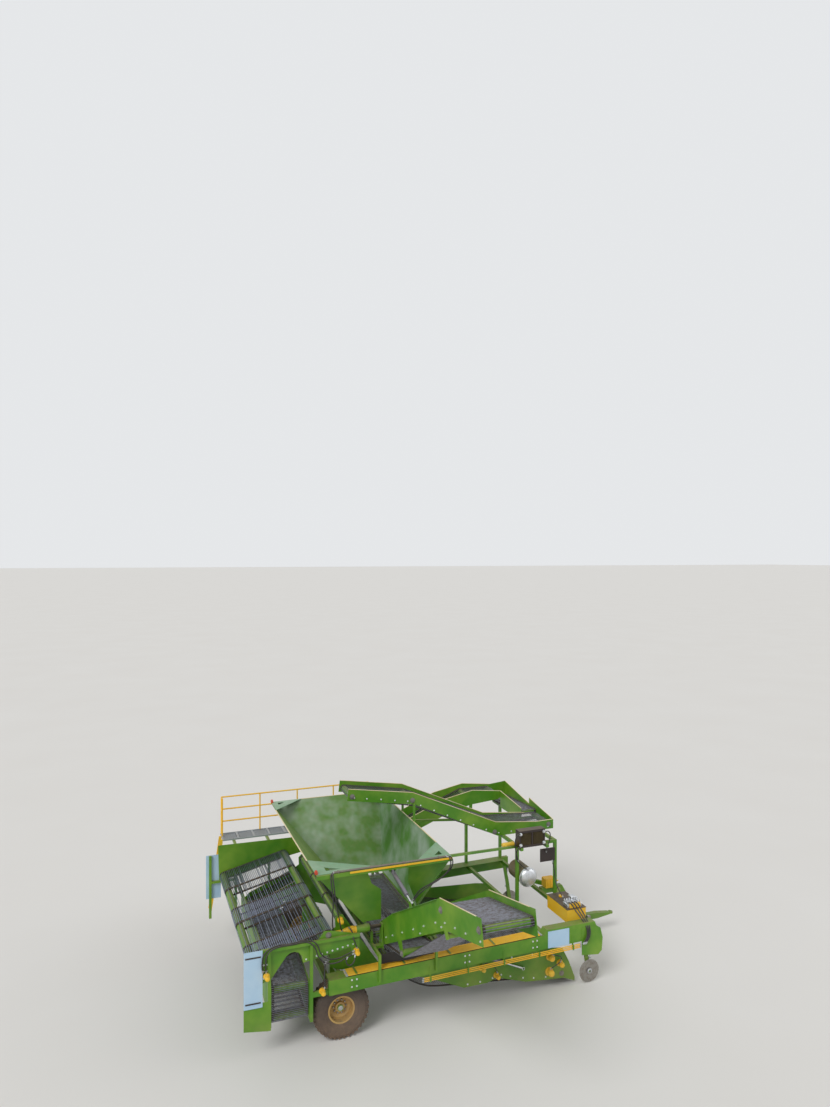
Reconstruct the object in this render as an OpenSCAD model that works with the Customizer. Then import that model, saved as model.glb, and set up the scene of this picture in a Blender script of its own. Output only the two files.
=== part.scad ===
// Towed four-row potato harvester with a bunker hopper and a raised unloading elevator.
// Millimetres, +X forward, +Y to the left, +Z up. The modules are drawn with X = 0 above
// the wheel axle, Y = 0 on the centre line and Z = 0 on the ground. place() then moves
// them so that the part's origin is the centre of the drawbar eye.

/* [Wheels] */
// Outer diameter of a tyre
wheel_d = 1370; // [1200:10:1440]
// Width of a tyre over its sidewalls
tyre_w = 450; // [380:10:480]
// Gap between a tyre and the side beam above it
wheel_gap = 30; // [20:5:60]
// Diameter of the rim over its flanges
rim_d = 650; // [560:10:720]
// Wall thickness of the rim
rim_t = 14; // [8:1:20]
// Diameter of the wheel spindle
spindle_d = 90; // [70:2:100]
// Outer diameter of the wheel hub
hub_d = 230; // [190:5:250]
// Radial running clearance of the wheel, disc and pin bearings
bearing_gap = 0.05; // [0.02:0.01:0.09]

/* [Main frame] */
// Width over the outer faces of the two side beams
frame_w = 5200; // [5120:10:5300]
// Rear end of the side beams
beam_rear = -350; // [-360:10:-300]
// Front end of the side beams
beam_front = 6900; // [6850:10:6950]
// Underside of the side beams at their rear end
beam_z = 1175; // [1150:5:1200]
// Height of a side beam
beam_h = 340; // [300:10:350]
// Width of a side beam
beam_t = 120; // [80:10:140]
// Rise of the side beams from rear end to front end
beam_rise = 130; // [60:10:160]
// Thickness of the ledge plate on a side beam
ledge_t = 8; // [5:1:12]
// Side of the square cross tubes
cross_w = 90; // [70:5:95]
// Side of the square axle tube
axle_w = 140; // [120:5:160]

/* [Drawbar] */
// Distance from the axle to the drawbar eye
eye_x = 9100; // [8900:50:9300]
// Height of the drawbar eye above the ground
eye_z = 550; // [500:10:600]
// Diameter of the bore in the drawbar eye
eye_d = 52; // [40:1:60]
// Outer diameter of the drawbar eye
eye_od = 150; // [130:5:180]
// Thickness of the drawbar eye
eye_t = 50; // [40:2:60]
// Side of the square drawbar tube
tongue_w = 160; // [140:5:180]
// Position of the parking jack along the drawbar
jack_x = 8250; // [8100:50:8400]
// Diameter of the power shaft stub
pto_d = 35; // [34:1:45]
// Length of the power shaft stub
pto_len = 100; // [80:5:140]

/* [Hopper] */
// Rear edge of the hopper rim
rim_rear = -700; // [-740:10:-640]
// Front edge of the hopper rim
rim_front = 2650; // [2600:10:2700]
// Right edge of the hopper rim
rim_right = -2800; // [-2850:10:-2760]
// Left edge of the hopper rim
rim_left = 2950; // [2900:10:3000]
// Height of the hopper rim
rim_z = 4100; // [4050:10:4150]
// Rear edge of the hopper floor
floor_rear = 900; // [880:10:940]
// Front edge of the hopper floor
floor_front = 2300; // [2280:10:2320]
// Right edge of the hopper floor
floor_right = -2000; // [-2040:10:-1960]
// Left edge of the hopper floor
floor_left = 1500; // [1400:10:1600]
// Height of the hopper's lower edge
floor_z = 2200; // [2180:10:2240]
// Horizontal thickness of the hopper walls
wall_t = 14; // [8:1:20]
// Thickness of the corner gusset plates
gusset_t = 10; // [6:1:14]

/* [Unloading elevator] */
// Position of the elevator pivot across the machine
boom_y = -2150; // [-2170:10:-2130]
// Height of the elevator pivot
boom_z = 2400; // [2380:10:2420]
// Angle of the elevator above level
boom_angle = 28; // [24:1:32]
// Length of the elevator from pivot to bend
boom_len = 4250; // [3900:50:4500]
// Length of the part beyond the bend
boom_end_len = 1930; // [1500:50:2200]
// Angle of the bend
boom_bend = 16; // [10:1:20]
// Rear face of the elevator
boom_x = 1100; // [1090:5:1120]
// Width of the elevator over its side plates
boom_w = 1100; // [1050:10:1120]
// Thickness of the elevator side plates
boom_t = 12; // [8:1:16]
// Diameter of the elevator pivot pins
boom_pin_d = 70; // [50:2:90]

/* [Webs] */
// Diameter of a web rod
rod_d = 22; // [14:1:28]
// Thickness of a web belt
belt_t = 14; // [10:1:16]
// Width of a web belt
belt_w = 60; // [45:5:75]
// Distance between rods on the cleaning webs
web_pitch = 240; // [200:10:320]
// Distance between rods on the conveyor webs
conveyor_pitch = 300; // [240:10:400]
// Gap between a roller and the belt that wraps it
roller_gap = 0.3; // [0.2:0.1:1]
// Thickness of the sheet side plates
side_t = 12; // [8:1:14]

/* [Digger] */
// Pivot of the digger, at the top roller of the digging web
digger_x = 1300; // [1260:10:1340]
// Height of the digger pivot
digger_z = 1400; // [1380:5:1420]
// Gap between a side of the digger and the side beam, for the lift cylinder
digger_gap = 280; // [260:5:320]
// Diameter of the coulter discs
disc_d = 600; // [500:10:620]
// Thickness of the coulter discs
disc_t = 8; // [5:1:12]

/* [Walkway] */
// Height of the walkway deck
walk_z = 3000; // [2950:10:3050]
// Width of the walkway deck
walk_w = 600; // [500:10:700]
// Length of the walkway deck
walk_len = 4700; // [4200:50:4900]
// Height of the guard rail above the deck
rail_h = 1100; // [1000:10:1150]
// Diameter of the guard rail tube
rail_d = 42; // [34:1:48]

/* [Hidden] */

green = "#2f7d1e";
yellow = "#e0ae2a";
steel = "#8d8f8c";
web_grey = "#5d5a58";
board_blue = "#a9c6e0";
rim_cream = "#c9a558";

// Width between the side beams
inner_w = frame_w - 2 * beam_t;
// Distance from the centre line to the middle of a wheel
wheel_y = inner_w / 2 - wheel_gap - tyre_w / 2;
// Half width of the digger over its side plates
digger_half_w = inner_w / 2 - digger_gap;
step_a = 15;
// Inner faces of the left lift conveyor's side plates
lift_y0 = 2200;
lift_y1 = 3000;
// Top of the ring that carries the trough and the oil cooler
ring_z = 3380;

// Moves the working frame so that the drawbar eye is the origin
module place() {
    translate([-eye_x, 0, -eye_z]) children();
}

// Flat plate in the X-Z plane between y and y + t
module plate_xz(points, y, t) {
    translate([0, y + t, 0]) rotate([90, 0, 0]) linear_extrude(t) polygon(points);
}

// Flat plate in the Y-Z plane between x and x + t
module plate_yz(points, x, t) {
    translate([x, 0, 0]) rotate([90, 0, 90]) linear_extrude(t) polygon(points);
}

// Flat plate in the X-Y plane between z and z + t
module plate_xy(points, z, t) {
    translate([0, 0, z]) linear_extrude(t) polygon(points);
}

// Box from one corner to the opposite one
module box(a, b) {
    translate(a) cube(b - a);
}

// Angles that turn +Z onto the line from a to b
function tilt_of(a, b) = let (d = b - a) [0, acos(d[2] / norm(d)), atan2(d[1], d[0])];

// Round bar from a to b
module rod(a, b, d) {
    translate(a) rotate(tilt_of(a, b)) cylinder(h = norm(b - a), d = d, $fn = 24);
}

// Square tube from a to b, drawn solid
module bar(a, b, w, h) {
    translate(a) rotate(tilt_of(a, b)) translate([-h / 2, -w / 2, 0]) cube([h, w, norm(b - a)]);
}

// Rod along Y, centred on x and z
module y_rod(x, z, y0, y1, d) {
    translate([x, y1, z]) rotate([90, 0, 0]) cylinder(h = y1 - y0, d = d, $fn = 32);
}

// Rod along X, centred on y and z
module x_rod(y, z, x0, x1, d) {
    translate([x0, y, z]) rotate([0, 90, 0]) cylinder(h = x1 - x0, d = d, $fn = 32);
}

// Belt path round rollers. Each roller is [x, z, r]: r is above 0 for a roller inside the
// loop and below 0 for one that presses on it from outside. The loop runs anticlockwise.
function wrap(i, n) = (i + n) % n;
// Turn on a roller: anticlockwise where it lies inside the loop, clockwise where outside
function turn_to(a, r) = r > 0 ? a - 360 * floor((a + 0.01) / 360) : a - 360 * ceil((a - 0.01) / 360);
function run_angle(p, q) =
    let (dx = q[0] - p[0], dz = q[1] - p[1])
    atan2(dz, dx) - asin((q[2] - p[2]) / norm([dx, dz]));
function arc_count(a) = max(1, ceil(abs(a) / step_a));
function loop_path(rollers, grow) =
    let (n = len(rollers))
    [for (i = [0 : n - 1])
        let (
            c = rollers[i],
            a0 = run_angle(rollers[wrap(i - 1, n)], c),
            a1 = run_angle(c, rollers[wrap(i + 1, n)]),
            sweep = turn_to(a1 - a0, c[2]),
            m = arc_count(sweep)
        )
        for (k = [0 : m])
            let (a = a0 + sweep * k / m)
            [c[0] + (c[2] + grow) * sin(a), c[1] - (c[2] + grow) * cos(a)]];

// Place on a closed path at the distance s from its first point
function path_sums(path) =
    [for (i = 0, s = 0; i <= len(path);
          s = s + (i < len(path) ? norm(path[wrap(i + 1, len(path))] - path[i]) : 0), i = i + 1) s];
function path_at(path, sums, s) =
    let (
        i = max([for (j = [0 : len(path) - 1]) if (sums[j] <= s) j]),
        a = path[i],
        b = path[wrap(i + 1, len(path))]
    )
    a + (b - a) * (s - sums[i]) / max(norm(b - a), 0.001);

// Rods lie with their inner edge 1 mm inside the belts' inner face
rod_out = (rod_d - belt_t) / 2 + 1;

// Endless web of cross rods on belts, in the X-Z plane, from y = 0 to y = width
module rod_web(rollers, width, pitch, belts) {
    path = loop_path(rollers, rod_out);
    sums = path_sums(path);
    count = floor(sums[len(path)] / pitch);
    step = sums[len(path)] / count;
    for (k = [0 : belts - 1])
        translate([0, belt_w + (width - belt_w) * k / (belts - 1), 0]) rotate([90, 0, 0])
            linear_extrude(belt_w) difference() {
                polygon(loop_path(rollers, belt_t / 2));
                polygon(loop_path(rollers, -belt_t / 2));
            }
    for (k = [0 : count - 1]) {
        p = path_at(path, sums, k * step);
        translate([p[0], width, p[1]]) rotate([90, 0, 0]) cylinder(h = width, d = rod_d, $fn = 4);
    }
}

// Radius of a roller inside a faceted belt, or outside it where r is below 0
function roller_r(r) = r > 0 ? (r - belt_t / 2) * cos(step_a / 2) - roller_gap
    : (-r - rod_out) * cos(step_a / 2) - rod_d / 2 - roller_gap;

// The rollers of a web that are real, as shafts from y0 to y1
module web_rollers(rollers, which, y0, y1) {
    for (i = which)
        y_rod(rollers[i][0], rollers[i][1], y0, y1, 2 * roller_r(rollers[i][2]));
}

// Turns a web drawn in the X-Z plane so that its X runs along Y and its width along X
module across() {
    mirror([1, -1, 0]) children();
}

// Wheels

tyre_half = tyre_w / 2;
tyre_r = wheel_d / 2;
rim_r = rim_d / 2;
seat_r = rim_r - 22;
bead_y = tyre_half * 0.8;
flange_t = 6;

module tyre(side) {
    // Half section as [radius, distance from the middle]
    half = [
        [seat_r + roller_gap, bead_y - roller_gap], [rim_r + 2, bead_y - roller_gap],
        [rim_r + 9, bead_y + 12],
        [rim_r + (tyre_r - rim_r) * 0.45, tyre_half], [tyre_r - 70, tyre_half * 0.95],
        [tyre_r - 22, tyre_half * 0.84], [tyre_r - 4, tyre_half * 0.62], [tyre_r, tyre_half * 0.4]
    ];
    other = [for (i = [len(half) - 1 : -1 : 0]) [half[i][0], -half[i][1]]];
    color("#4a4440") translate([0, side * wheel_y, tyre_r]) rotate([90, 0, 0])
        rotate_extrude($fn = 48) polygon(concat(half, other));
}

hub_in = 250;
hub_out = 60;

module rim(side) {
    color(rim_cream) translate([0, side * wheel_y, tyre_r]) rotate([-90 * side, 0, 0])
        difference() {
            rotate_extrude($fn = 48) union() {
                // Barrel with its two flanges
                polygon([
                    [seat_r - rim_t, -bead_y], [seat_r - rim_t, bead_y], [rim_r, bead_y + flange_t],
                    [rim_r, bead_y], [seat_r, bead_y], [seat_r, -bead_y], [rim_r, -bead_y],
                    [rim_r, -bead_y - flange_t]
                ]);
                // Dished wheel disc
                polygon([
                    [hub_d / 2 - 10, -20], [190, -20], [250, 20], [seat_r - rim_t + 2, 20],
                    [seat_r - rim_t + 2, 20 + rim_t], [244, 20 + rim_t], [184, -20 + rim_t],
                    [hub_d / 2 - 10, -20 + rim_t]
                ]);
                // Hub
                translate([spindle_d / 2 + bearing_gap, -hub_in + 40])
                    square([hub_d / 2 - spindle_d / 2 - bearing_gap, hub_in - 40 + hub_out]);
            }
            for (a = [0 : 36 : 324])
                rotate([0, 0, a]) translate([155, 0, -60]) cylinder(h = 120, d = 22, $fn = 24);
        }
}

// Main frame

// Underside and top of a side beam at x
function beam_at(x) = beam_z + beam_rise * (x - beam_rear) / (beam_front - beam_rear);
function beam_top(x) = beam_at(x) + beam_h;

// Ledge plate on the beam, which carries the pipes
ledge_w = 350;
ledge_front = beam_front - 300;

module side_beam(side) {
    y = side > 0 ? frame_w / 2 - beam_t : -frame_w / 2;
    ledge = side > 0 ? frame_w / 2 - ledge_w : -frame_w / 2;
    color(green) {
        plate_xz([
            [beam_rear, beam_at(beam_rear)], [beam_front, beam_at(beam_front)],
            [beam_front, beam_top(beam_front)], [beam_rear, beam_top(beam_rear)]
        ], y, beam_t);
        plate_xz([
            [beam_rear, beam_top(beam_rear)], [ledge_front, beam_top(ledge_front)],
            [ledge_front, beam_top(ledge_front) + ledge_t], [beam_rear, beam_top(beam_rear) + ledge_t]
        ], ledge, ledge_w);
        // Box on top of the beam's front end
        if (side < 0) plate_xz([
            [5320, beam_top(5320) - 5], [5420, 1750], [6850, 1750], [beam_front, beam_top(beam_front) - 5]
        ], y, beam_t + 130);
        // Rounded shield at the front end of the beam
        if (side < 0) plate_xz([
            [6450, 930], [6950, 870], [7060, 960], [7090, 1300], [7020, 1560], [6900, 1640],
            [6450, beam_top(6450)]
        ], -frame_w / 2 - 8, 8);
    }
}

// Cross tubes between the beams: [x, height above the beam's underside]
cross_rows = [[0, 199], [2750, 225], [5440, 225], [6640, 225]];

function cross_top(i) = beam_at(cross_rows[i][0]) + cross_rows[i][1] + cross_w;

// Bearing blocks of the digger, inside the beams
bearing_y = digger_half_w + 25;

module cross_tubes() {
    color(green) {
        for (row = cross_rows)
            box([row[0] - cross_w / 2, -inner_w / 2, beam_at(row[0]) + row[1]],
                [row[0] + cross_w / 2, inner_w / 2, beam_at(row[0]) + row[1] + cross_w]);
        for (s = [-1, 1]) {
            y0 = s > 0 ? bearing_y : -inner_w / 2;
            box([digger_x - 80, y0, digger_z - 90],
                [digger_x + 80, y0 + inner_w / 2 - bearing_y, digger_z + 90]);
            p0 = s > 0 ? digger_half_w - side_t + 1 : -bearing_y;
            y_rod(digger_x, digger_z, p0, p0 + bearing_y - digger_half_w + side_t - 1, dig_pin_d);
            q0 = s > 0 ? dig_y - dig_w / 2 - 10 : -inner_w / 2;
            y_rod(dig_pin[0], dig_pin[1], q0, q0 + inner_w / 2 - dig_y + dig_w / 2 + 10, ram_pin_d);
        }
    }
}

axle_end = wheel_y - tyre_half - 60;
hanger_y = 1500;

module axle() {
    color(green) {
        box([-axle_w / 2, -axle_end, tyre_r - axle_w / 2], [axle_w / 2, axle_end, tyre_r + axle_w / 2]);
        for (s = [-1, 1])
            box([-axle_w / 2, s * hanger_y - 70, tyre_r + axle_w / 2],
                [axle_w / 2, s * hanger_y + 70, cross_top(0) - cross_w]);
    }
    color(steel) for (s = [-1, 1]) {
        y0 = s > 0 ? axle_end : -wheel_y - hub_out - 30;
        y1 = s > 0 ? wheel_y + hub_out + 30 : -axle_end;
        y_rod(0, tyre_r, y0, y1, spindle_d);
        cap = s * (wheel_y + hub_out + 5);
        y_rod(0, tyre_r, min(cap, cap + s * 40), max(cap, cap + s * 40), spindle_d + 50);
    }
}

// Drawbar and jack

tongue_x = cross_rows[3][0] + cross_w / 2;
tongue_z = cross_top(3) - cross_w / 2;
half_tongue = tongue_w / 2;

module tongue() {
    z0 = eye_z;
    color(green) {
        // Pole from the front cross tube, cranked down to the eye
        plate_xz([
            [tongue_x, tongue_z - half_tongue], [7300, tongue_z - half_tongue],
            [7900, z0 - half_tongue], [8600, z0 - half_tongue], [eye_x - eye_od / 2 + 15, z0 - eye_t / 2],
            [eye_x - eye_od / 2 + 15, z0 + eye_t / 2], [8600, z0 + half_tongue], [7980, z0 + half_tongue],
            [7380, tongue_z + half_tongue], [tongue_x, tongue_z + half_tongue]
        ], -half_tongue, tongue_w);
        // Braces from the pole to the cross tube
        for (s = [-1, 1])
            plate_xy([
                [tongue_x, s * 900], [tongue_x, s * 780], [7230, s * half_tongue], [7330, s * half_tongue]
            ], tongue_z - 60, 120);
    }
    color(steel) translate([eye_x, 0, z0 - eye_t / 2]) difference() {
        cylinder(h = eye_t, d = eye_od, $fn = 48);
        translate([0, 0, -1]) cylinder(h = eye_t + 2, d = eye_d, $fn = 48);
    }
    // Jack pivot
    color(green) y_rod(jack_x, z0, -half_tongue - 110, -half_tongue, 60);
}

module jack() {
    y = -half_tongue - 60;
    color(steel) {
        difference() {
            box([jack_x - 50, y - 40, 30], [jack_x + 50, y + 40, eye_z + 80]);
            y_rod(jack_x, eye_z, y - 50, y + 50, 60 + 2 * bearing_gap);
        }
        box([jack_x - 160, y - 140, 0], [jack_x + 160, y + 140, 30]);
    }
}

// Rear frame and boards

rear_post_x = [-1720, -745];
post_w = 70;
right_post_y = -wheel_y - tyre_half - 10 - post_w / 2;
left_post_y = lift_y1 + side_t + post_w / 2;
rear_tube_z = 2040;

module rear_frame() {
    ry = right_post_y;
    ly = left_post_y;
    h = post_w / 2;
    color(green) {
        for (x = rear_post_x) {
            box([x - h, ry - h, 620], [x + h, ry + h, 2390]);
            box([x - h, ly - h, 900], [x + h, ly + h, walk_z - 100]);
            // Arms under the walkway
            box([x - h, ly - h, walk_z - 100], [x + h, walk_y0 + walk_w, walk_z - 40]);
        }
        // Top rail on the right, and the link to the beam
        bar([-1890, ry, 2390 + h], [420, ry, 2405 + h], post_w, post_w);
        box([rear_post_x[1] + h, ry - h, beam_z], [beam_rear, ry + h, beam_z + 120]);
        // Tube under the haulm web, between its side plates
        box([rear_post_x[0] - h, haulm_y[0], rear_tube_z - post_w],
            [rear_post_x[0] + h, haulm_y[1], rear_tube_z]);
        // Left link to the beam, under the lift conveyor
        box([rear_post_x[1] - h, frame_w / 2 - 100, 1180], [rear_post_x[1] + h, ly - h, 1250]);
        box([rear_post_x[1] + h, frame_w / 2 - 100, 1180], [beam_rear, frame_w / 2 - 30, 1250]);
        // Skirt plate under the right board
        plate_xz([
            [-2300, 700], [rear_post_x[0] - h, 620], [rear_post_x[0] - h, 1290], [-2300, 1290]
        ], ry - h, 10);
        // Post under the left board
        box([-2480, ly - h, 900], [-2410, ly + h, 2700]);
        box([-2410, ly - h, 1900], [rear_post_x[0] - h, ly + h, 1960]);
    }
}

module boards() {
    color(board_blue) {
        y = right_post_y - post_w / 2 - 20;
        box([-2300, y, 1200], [-1880, y + 20, 2480]);
        box([-2560, left_post_y + post_w / 2, 1450], [-2140, left_post_y + post_w / 2 + 20, 2700]);
        box([5440, -frame_w / 2 - 20, 1290], [6060, -frame_w / 2, 1710]);
    }
}

// Haulm deck: the riser web lifts the crop from the digger to the haulm web, which is as
// wide as the machine and carries the haulm out over the rear

riser_rollers = [[1000, 1240, 100], [60, 2660, 90]];
riser_y = 2050;
haulm_rollers = [[-2080, 2110, 100], [-330, 2530, 100]];
haulm_y = [right_post_y + post_w / 2 + side_t, left_post_y - post_w / 2 - side_t];

// Lower edge of the riser's side plates, which sits on the cross tube over the axle
function riser_low(x) = cross_top(0) - (x - cross_w / 2) * 0.36;

// Lower edge of the haulm web's side plates, with a flat seat on the rear tube
haulm_low = [
    [-2200, 1990], [rear_post_x[0] - post_w / 2, rear_tube_z], [rear_post_x[0] + post_w / 2, rear_tube_z]
];

module deck_sides() {
    color(green) {
        for (y = [-riser_y - side_t, riser_y])
            plate_xz([
                [-190, riser_low(-190)], [-190, 2420], [-60, 2500], [-70, 2700], [10, 2780], [120, 2780],
                [165, 2700], [1120, 1330], [1120, 1180], [1050, riser_low(1050)]
            ], y, side_t);
        web_rollers(riser_rollers, [0, 1], -riser_y, riser_y);
        // Right plate with the arch over the end of the cross conveyor
        difference() {
            plate_xz([
                [-2200, 1990], [-1880, 1700], [-930, 1700], [-930, 1990], [420, 2190], [420, 2440],
                [-250, 2620], [-430, 2640], [-560, 2460], [-1900, 2460], [-2180, 2250]
            ], haulm_y[0] - side_t, side_t);
            plate_xz([
                [-1690, 1600], [-1690, 1720], [-1330, 2200], [-1230, 2270], [-1130, 2280], [-1030, 2240],
                [-960, 2150], [-930, 1990], [-900, 1600]
            ], haulm_y[0] - side_t - 1, side_t + 2);
        }
        plate_xz(concat(haulm_low, [[-330, 2400], [250, 2500], [250, 2960], [-2230, 2990]]),
            haulm_y[1], side_t);
        web_rollers(haulm_rollers, [0, 1], haulm_y[0], haulm_y[1]);
    }
}

module deck_web() {
    color(web_grey) {
        translate([0, -riser_y + 15, 0]) rod_web(riser_rollers, 2 * riser_y - 30, web_pitch, 4);
        translate([0, haulm_y[0] + 15, 0])
            rod_web(haulm_rollers, haulm_y[1] - haulm_y[0] - 30, web_pitch, 4);
    }
}

// Cross conveyor, drawn with X for the machine's Y

cross_x0 = rear_post_x[0] + post_w / 2 + side_t;
cross_x1 = rear_post_x[1] - post_w / 2 - side_t;
cross_rollers = [[-2340, 800, 90], [2080, 1540, 90], [-1300, 1600, 80], [-2340, 1440, 90]];

module cross_sides() {
    outline = [
        [-2500, 660], [-2300, 660], [-2200, 720], [2080, 1420], [2180, 1490], [2180, 1720],
        [-1300, 1720], [-2500, 1560]
    ];
    color(green) {
        for (x = [cross_x0 - side_t, cross_x1])
            plate_yz(outline, x, side_t);
        across() web_rollers(cross_rollers, [0, 1, 2, 3], cross_x0, cross_x1);
    }
}

module cross_web() {
    color(web_grey) across() translate([0, cross_x0 + 10, 0])
        rod_web(cross_rollers, cross_x1 - cross_x0 - 20, 110, 3);
}

// Left lift conveyor

lift_rollers = [[6350, 3760, 90], [5400, 3790, 80], [-1350, 1250, 90], [5000, 3490, -60]];

module lift_sides() {
    outline = [
        [-1490, 1170], [-1300, 1130], [4600, 3360], [5100, 3500], [5390, 3560], [5390, ring_z],
        [5490, ring_z], [5500, 3580], [6380, 3650], [6490, 3700], [6490, 3900], [5500, 4020], [4500, 3830], [-1330, 1500],
        [-1490, 1350]
    ];
    color(green) {
        for (y = [lift_y0 - side_t, lift_y1])
            plate_xz(outline, y, side_t);
        web_rollers(lift_rollers, [0, 1, 2], lift_y0, lift_y1);
    }
}

module lift_web() {
    color(web_grey) translate([0, lift_y0 + 10, 0])
        rod_web(lift_rollers, lift_y1 - lift_y0 - 20, conveyor_pitch, 2);
}

// Front trough that turns the flow into the fill conveyor

trough_x0 = 6490;
trough_x1 = 7050;
trough_rollers = [[950, 3590, 60], [2900, 3470, 60]];

module trough() {
    color(green) {
        // Front wall in two steps
        plate_yz([
            [fill_y0, ring_z], [lift_y1, ring_z], [lift_y1, 3950], [1350, 3680], [1350, 3860],
            [fill_y0, 3650]
        ], trough_x1, side_t);
        // Back wall between the two conveyors, and the left end
        plate_yz([
            [fill_y1, ring_z], [lift_y0 - side_t, ring_z], [lift_y0 - side_t, 3900], [fill_y1, 3760]
        ], trough_x0 - side_t, side_t);
        plate_xz([
            [trough_x0, ring_z], [trough_x1, ring_z], [trough_x1, 3950], [trough_x0, 3900]
        ], lift_y1, side_t);
        across() web_rollers(trough_rollers, [0, 1], trough_x0, trough_x1);
    }
}

module trough_web() {
    color(web_grey) across() translate([0, trough_x0 + 10, 0])
        rod_web(trough_rollers, trough_x1 - trough_x0 - 20, conveyor_pitch, 2);
}

// Hopper fill conveyor

fill_y0 = -100;
fill_y1 = 800;
fill_rollers = [
    [6900, 3520, 80], [5180, 3770, -60], [2640, 4680, 85], [920, 4960, 85],
    [2600, 4470, -60], [5150, 3500, 60]
];

module fill_sides() {
    // Edge from the trough up to the conveyor's head and back
    edge = [
        [trough_x0, 3640], [5190, 3780], [2650, 4890], [820, 5170], [780, 4860], [2700, 4560],
        [5250, ring_z]
    ];
    foot = [trough_x1, ring_z];
    color(green) {
        plate_xz(concat([foot, [trough_x1, 3650]], edge), fill_y0, side_t);
        plate_xz(concat([foot, [trough_x1, 3500], [trough_x0, 3500]], edge), fill_y1 - side_t, side_t);
        web_rollers(fill_rollers, [0, 2, 3, 5], fill_y0 + side_t, fill_y1 - side_t);
        // Struts down to the hopper's front rim
        for (y = [fill_y0 - 40, fill_y1])
            box([rim_front, y, rim_z], [rim_front + 60, y + 40, 4590]);
    }
}

module fill_web() {
    color(web_grey) translate([0, fill_y0 + side_t + 10, 0])
        rod_web(fill_rollers, fill_y1 - fill_y0 - 2 * side_t - 20, conveyor_pitch, 2);
}

// Hopper

// Flat sheet from the corners of its inner face, each with its own way to the outer face
module sheet(inner, out) {
    n = len(inner);
    polyhedron(
        points = concat(inner, [for (i = [0 : n - 1]) inner[i] + out[i]]),
        faces = concat(
            [[for (i = [n - 1 : -1 : 0]) i], [for (i = [0 : n - 1]) n + i]],
            [for (i = [0 : n - 1]) [i, (i + 1) % n, n + (i + 1) % n, n + i]]
        )
    );
}

// The front right corner is cut off down to this place on the front wall's lower edge
throat_y = -1200;

// Inner corners in the order rear right, front right, front left, rear left
rim_corner = [
    [rim_rear, rim_right, rim_z], [rim_front, rim_right, rim_z],
    [rim_front, rim_left, rim_z], [rim_rear, rim_left, rim_z]
];
low_corner = [
    [floor_rear, floor_right, floor_z], [floor_front, throat_y, floor_z],
    [floor_front, floor_left, floor_z], [floor_rear, floor_left, floor_z]
];
corner_out = [[-wall_t, -wall_t, 0], [wall_t, -wall_t, 0], [wall_t, wall_t, 0], [-wall_t, wall_t, 0]];

module hopper_wall(i) {
    j = (i + 1) % 4;
    sheet([rim_corner[i], rim_corner[j], low_corner[j], low_corner[i]],
        [corner_out[i], corner_out[j], corner_out[j], corner_out[i]]);
}

// Point on the right wall's inner face at x and z
function right_wall_at(x, z) =
    [x, rim_right + (floor_right - rim_right) * (rim_z - z) / (rim_z - floor_z), z];

// Slot in the right wall for the unloading elevator, as [x, z] along its rear and front edge
slot_rear = [[490, rim_z], [680, 3650], [940, 3450], [1060, 2560]];
slot_front = [[1540, rim_z], [1620, 3520], [1930, 2860]];

module hopper_rear() { color(green) hopper_wall(3); }
module hopper_front() { color(green) hopper_wall(1); }
module hopper_left() { color(green) hopper_wall(2); }

// Right wall in two pieces, with the slot for the unloading elevator between them. The
// front piece turns inward along its lower edge and meets the floor web at the throat.
module hopper_right() {
    f = (slot_rear[3][1] - floor_z) / (rim_z - floor_z);
    rear_low = right_wall_at(floor_rear - (floor_rear - rim_rear) * f, slot_rear[3][1]);
    tip = right_wall_at(slot_front[2][0], slot_front[2][1]);
    flat = [0, -wall_t, 0];
    color(green) {
        sheet(concat([rim_corner[0]], [for (p = slot_rear) right_wall_at(p[0], p[1])], [rear_low]),
            concat([corner_out[0]], [for (p = slot_rear) flat], [corner_out[0]]));
        bend = right_wall_at(slot_front[1][0], slot_front[1][1]);
        sheet([right_wall_at(slot_front[0][0], rim_z), rim_corner[1], tip, bend],
            [flat, corner_out[1], corner_out[1], flat]);
        front_out = [for (i = [0 : 2]) corner_out[1]];
        sheet([rim_corner[1], low_corner[1], tip], front_out);
        sheet([tip, low_corner[1], [floor_front - 50, floor_right + 100, floor_z]], front_out);
        // Rim beam across the slot, with the ears of the lift cylinder
        difference() {
            box([rim_rear, rim_right - wall_t - 50, rim_z - 90],
                [rim_front, rim_right - wall_t - 0.2, rim_z]);
            for (x = [slot_rear[0][0] + 60, slot_front[0][0] - 120])
                box([x, rim_right - wall_t - 60, rim_z - 60], [x + 60, rim_right, rim_z - 30]);
        }
        for (x = [ram_x - ram_d / 2 - 17, ram_x + ram_d / 2 + 5])
            plate_yz([
                [rim_right - wall_t - 30, rim_z - 90], [rim_right - wall_t - 30, rim_z - 20],
                [rim_right, rim_z - 20],
                [ram_top[1] + 40, ram_top[2] + 10], [ram_top[1], ram_top[2] - 40]
            ], x, 12);
        x_rod(ram_top[1], ram_top[2], ram_x - ram_d / 2 - 22, ram_x + ram_d / 2 + 22, ram_pin_d);
    }
}

module gusset(corner, dx, dy) {
    difference() {
        linear_extrude(gusset_t) polygon([corner, corner + [dx, 0], corner + [0, dy]]);
        translate([0, 0, -1]) linear_extrude(gusset_t + 2) polygon([
            corner + [dx * 0.18, dy * 0.18], corner + [dx * 0.42, dy * 0.18], corner + [dx * 0.18, dy * 0.42]
        ]);
    }
}

module hopper_corners() {
    color(green) translate([0, 0, rim_z]) {
        gusset([rim_rear, rim_right], 1500, 950);
        gusset([rim_front, rim_right], -900, 1000);
        gusset([rim_rear, rim_left], 900, -800);
        gusset([rim_front, rim_left], -900, -800);
    }
}

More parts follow.
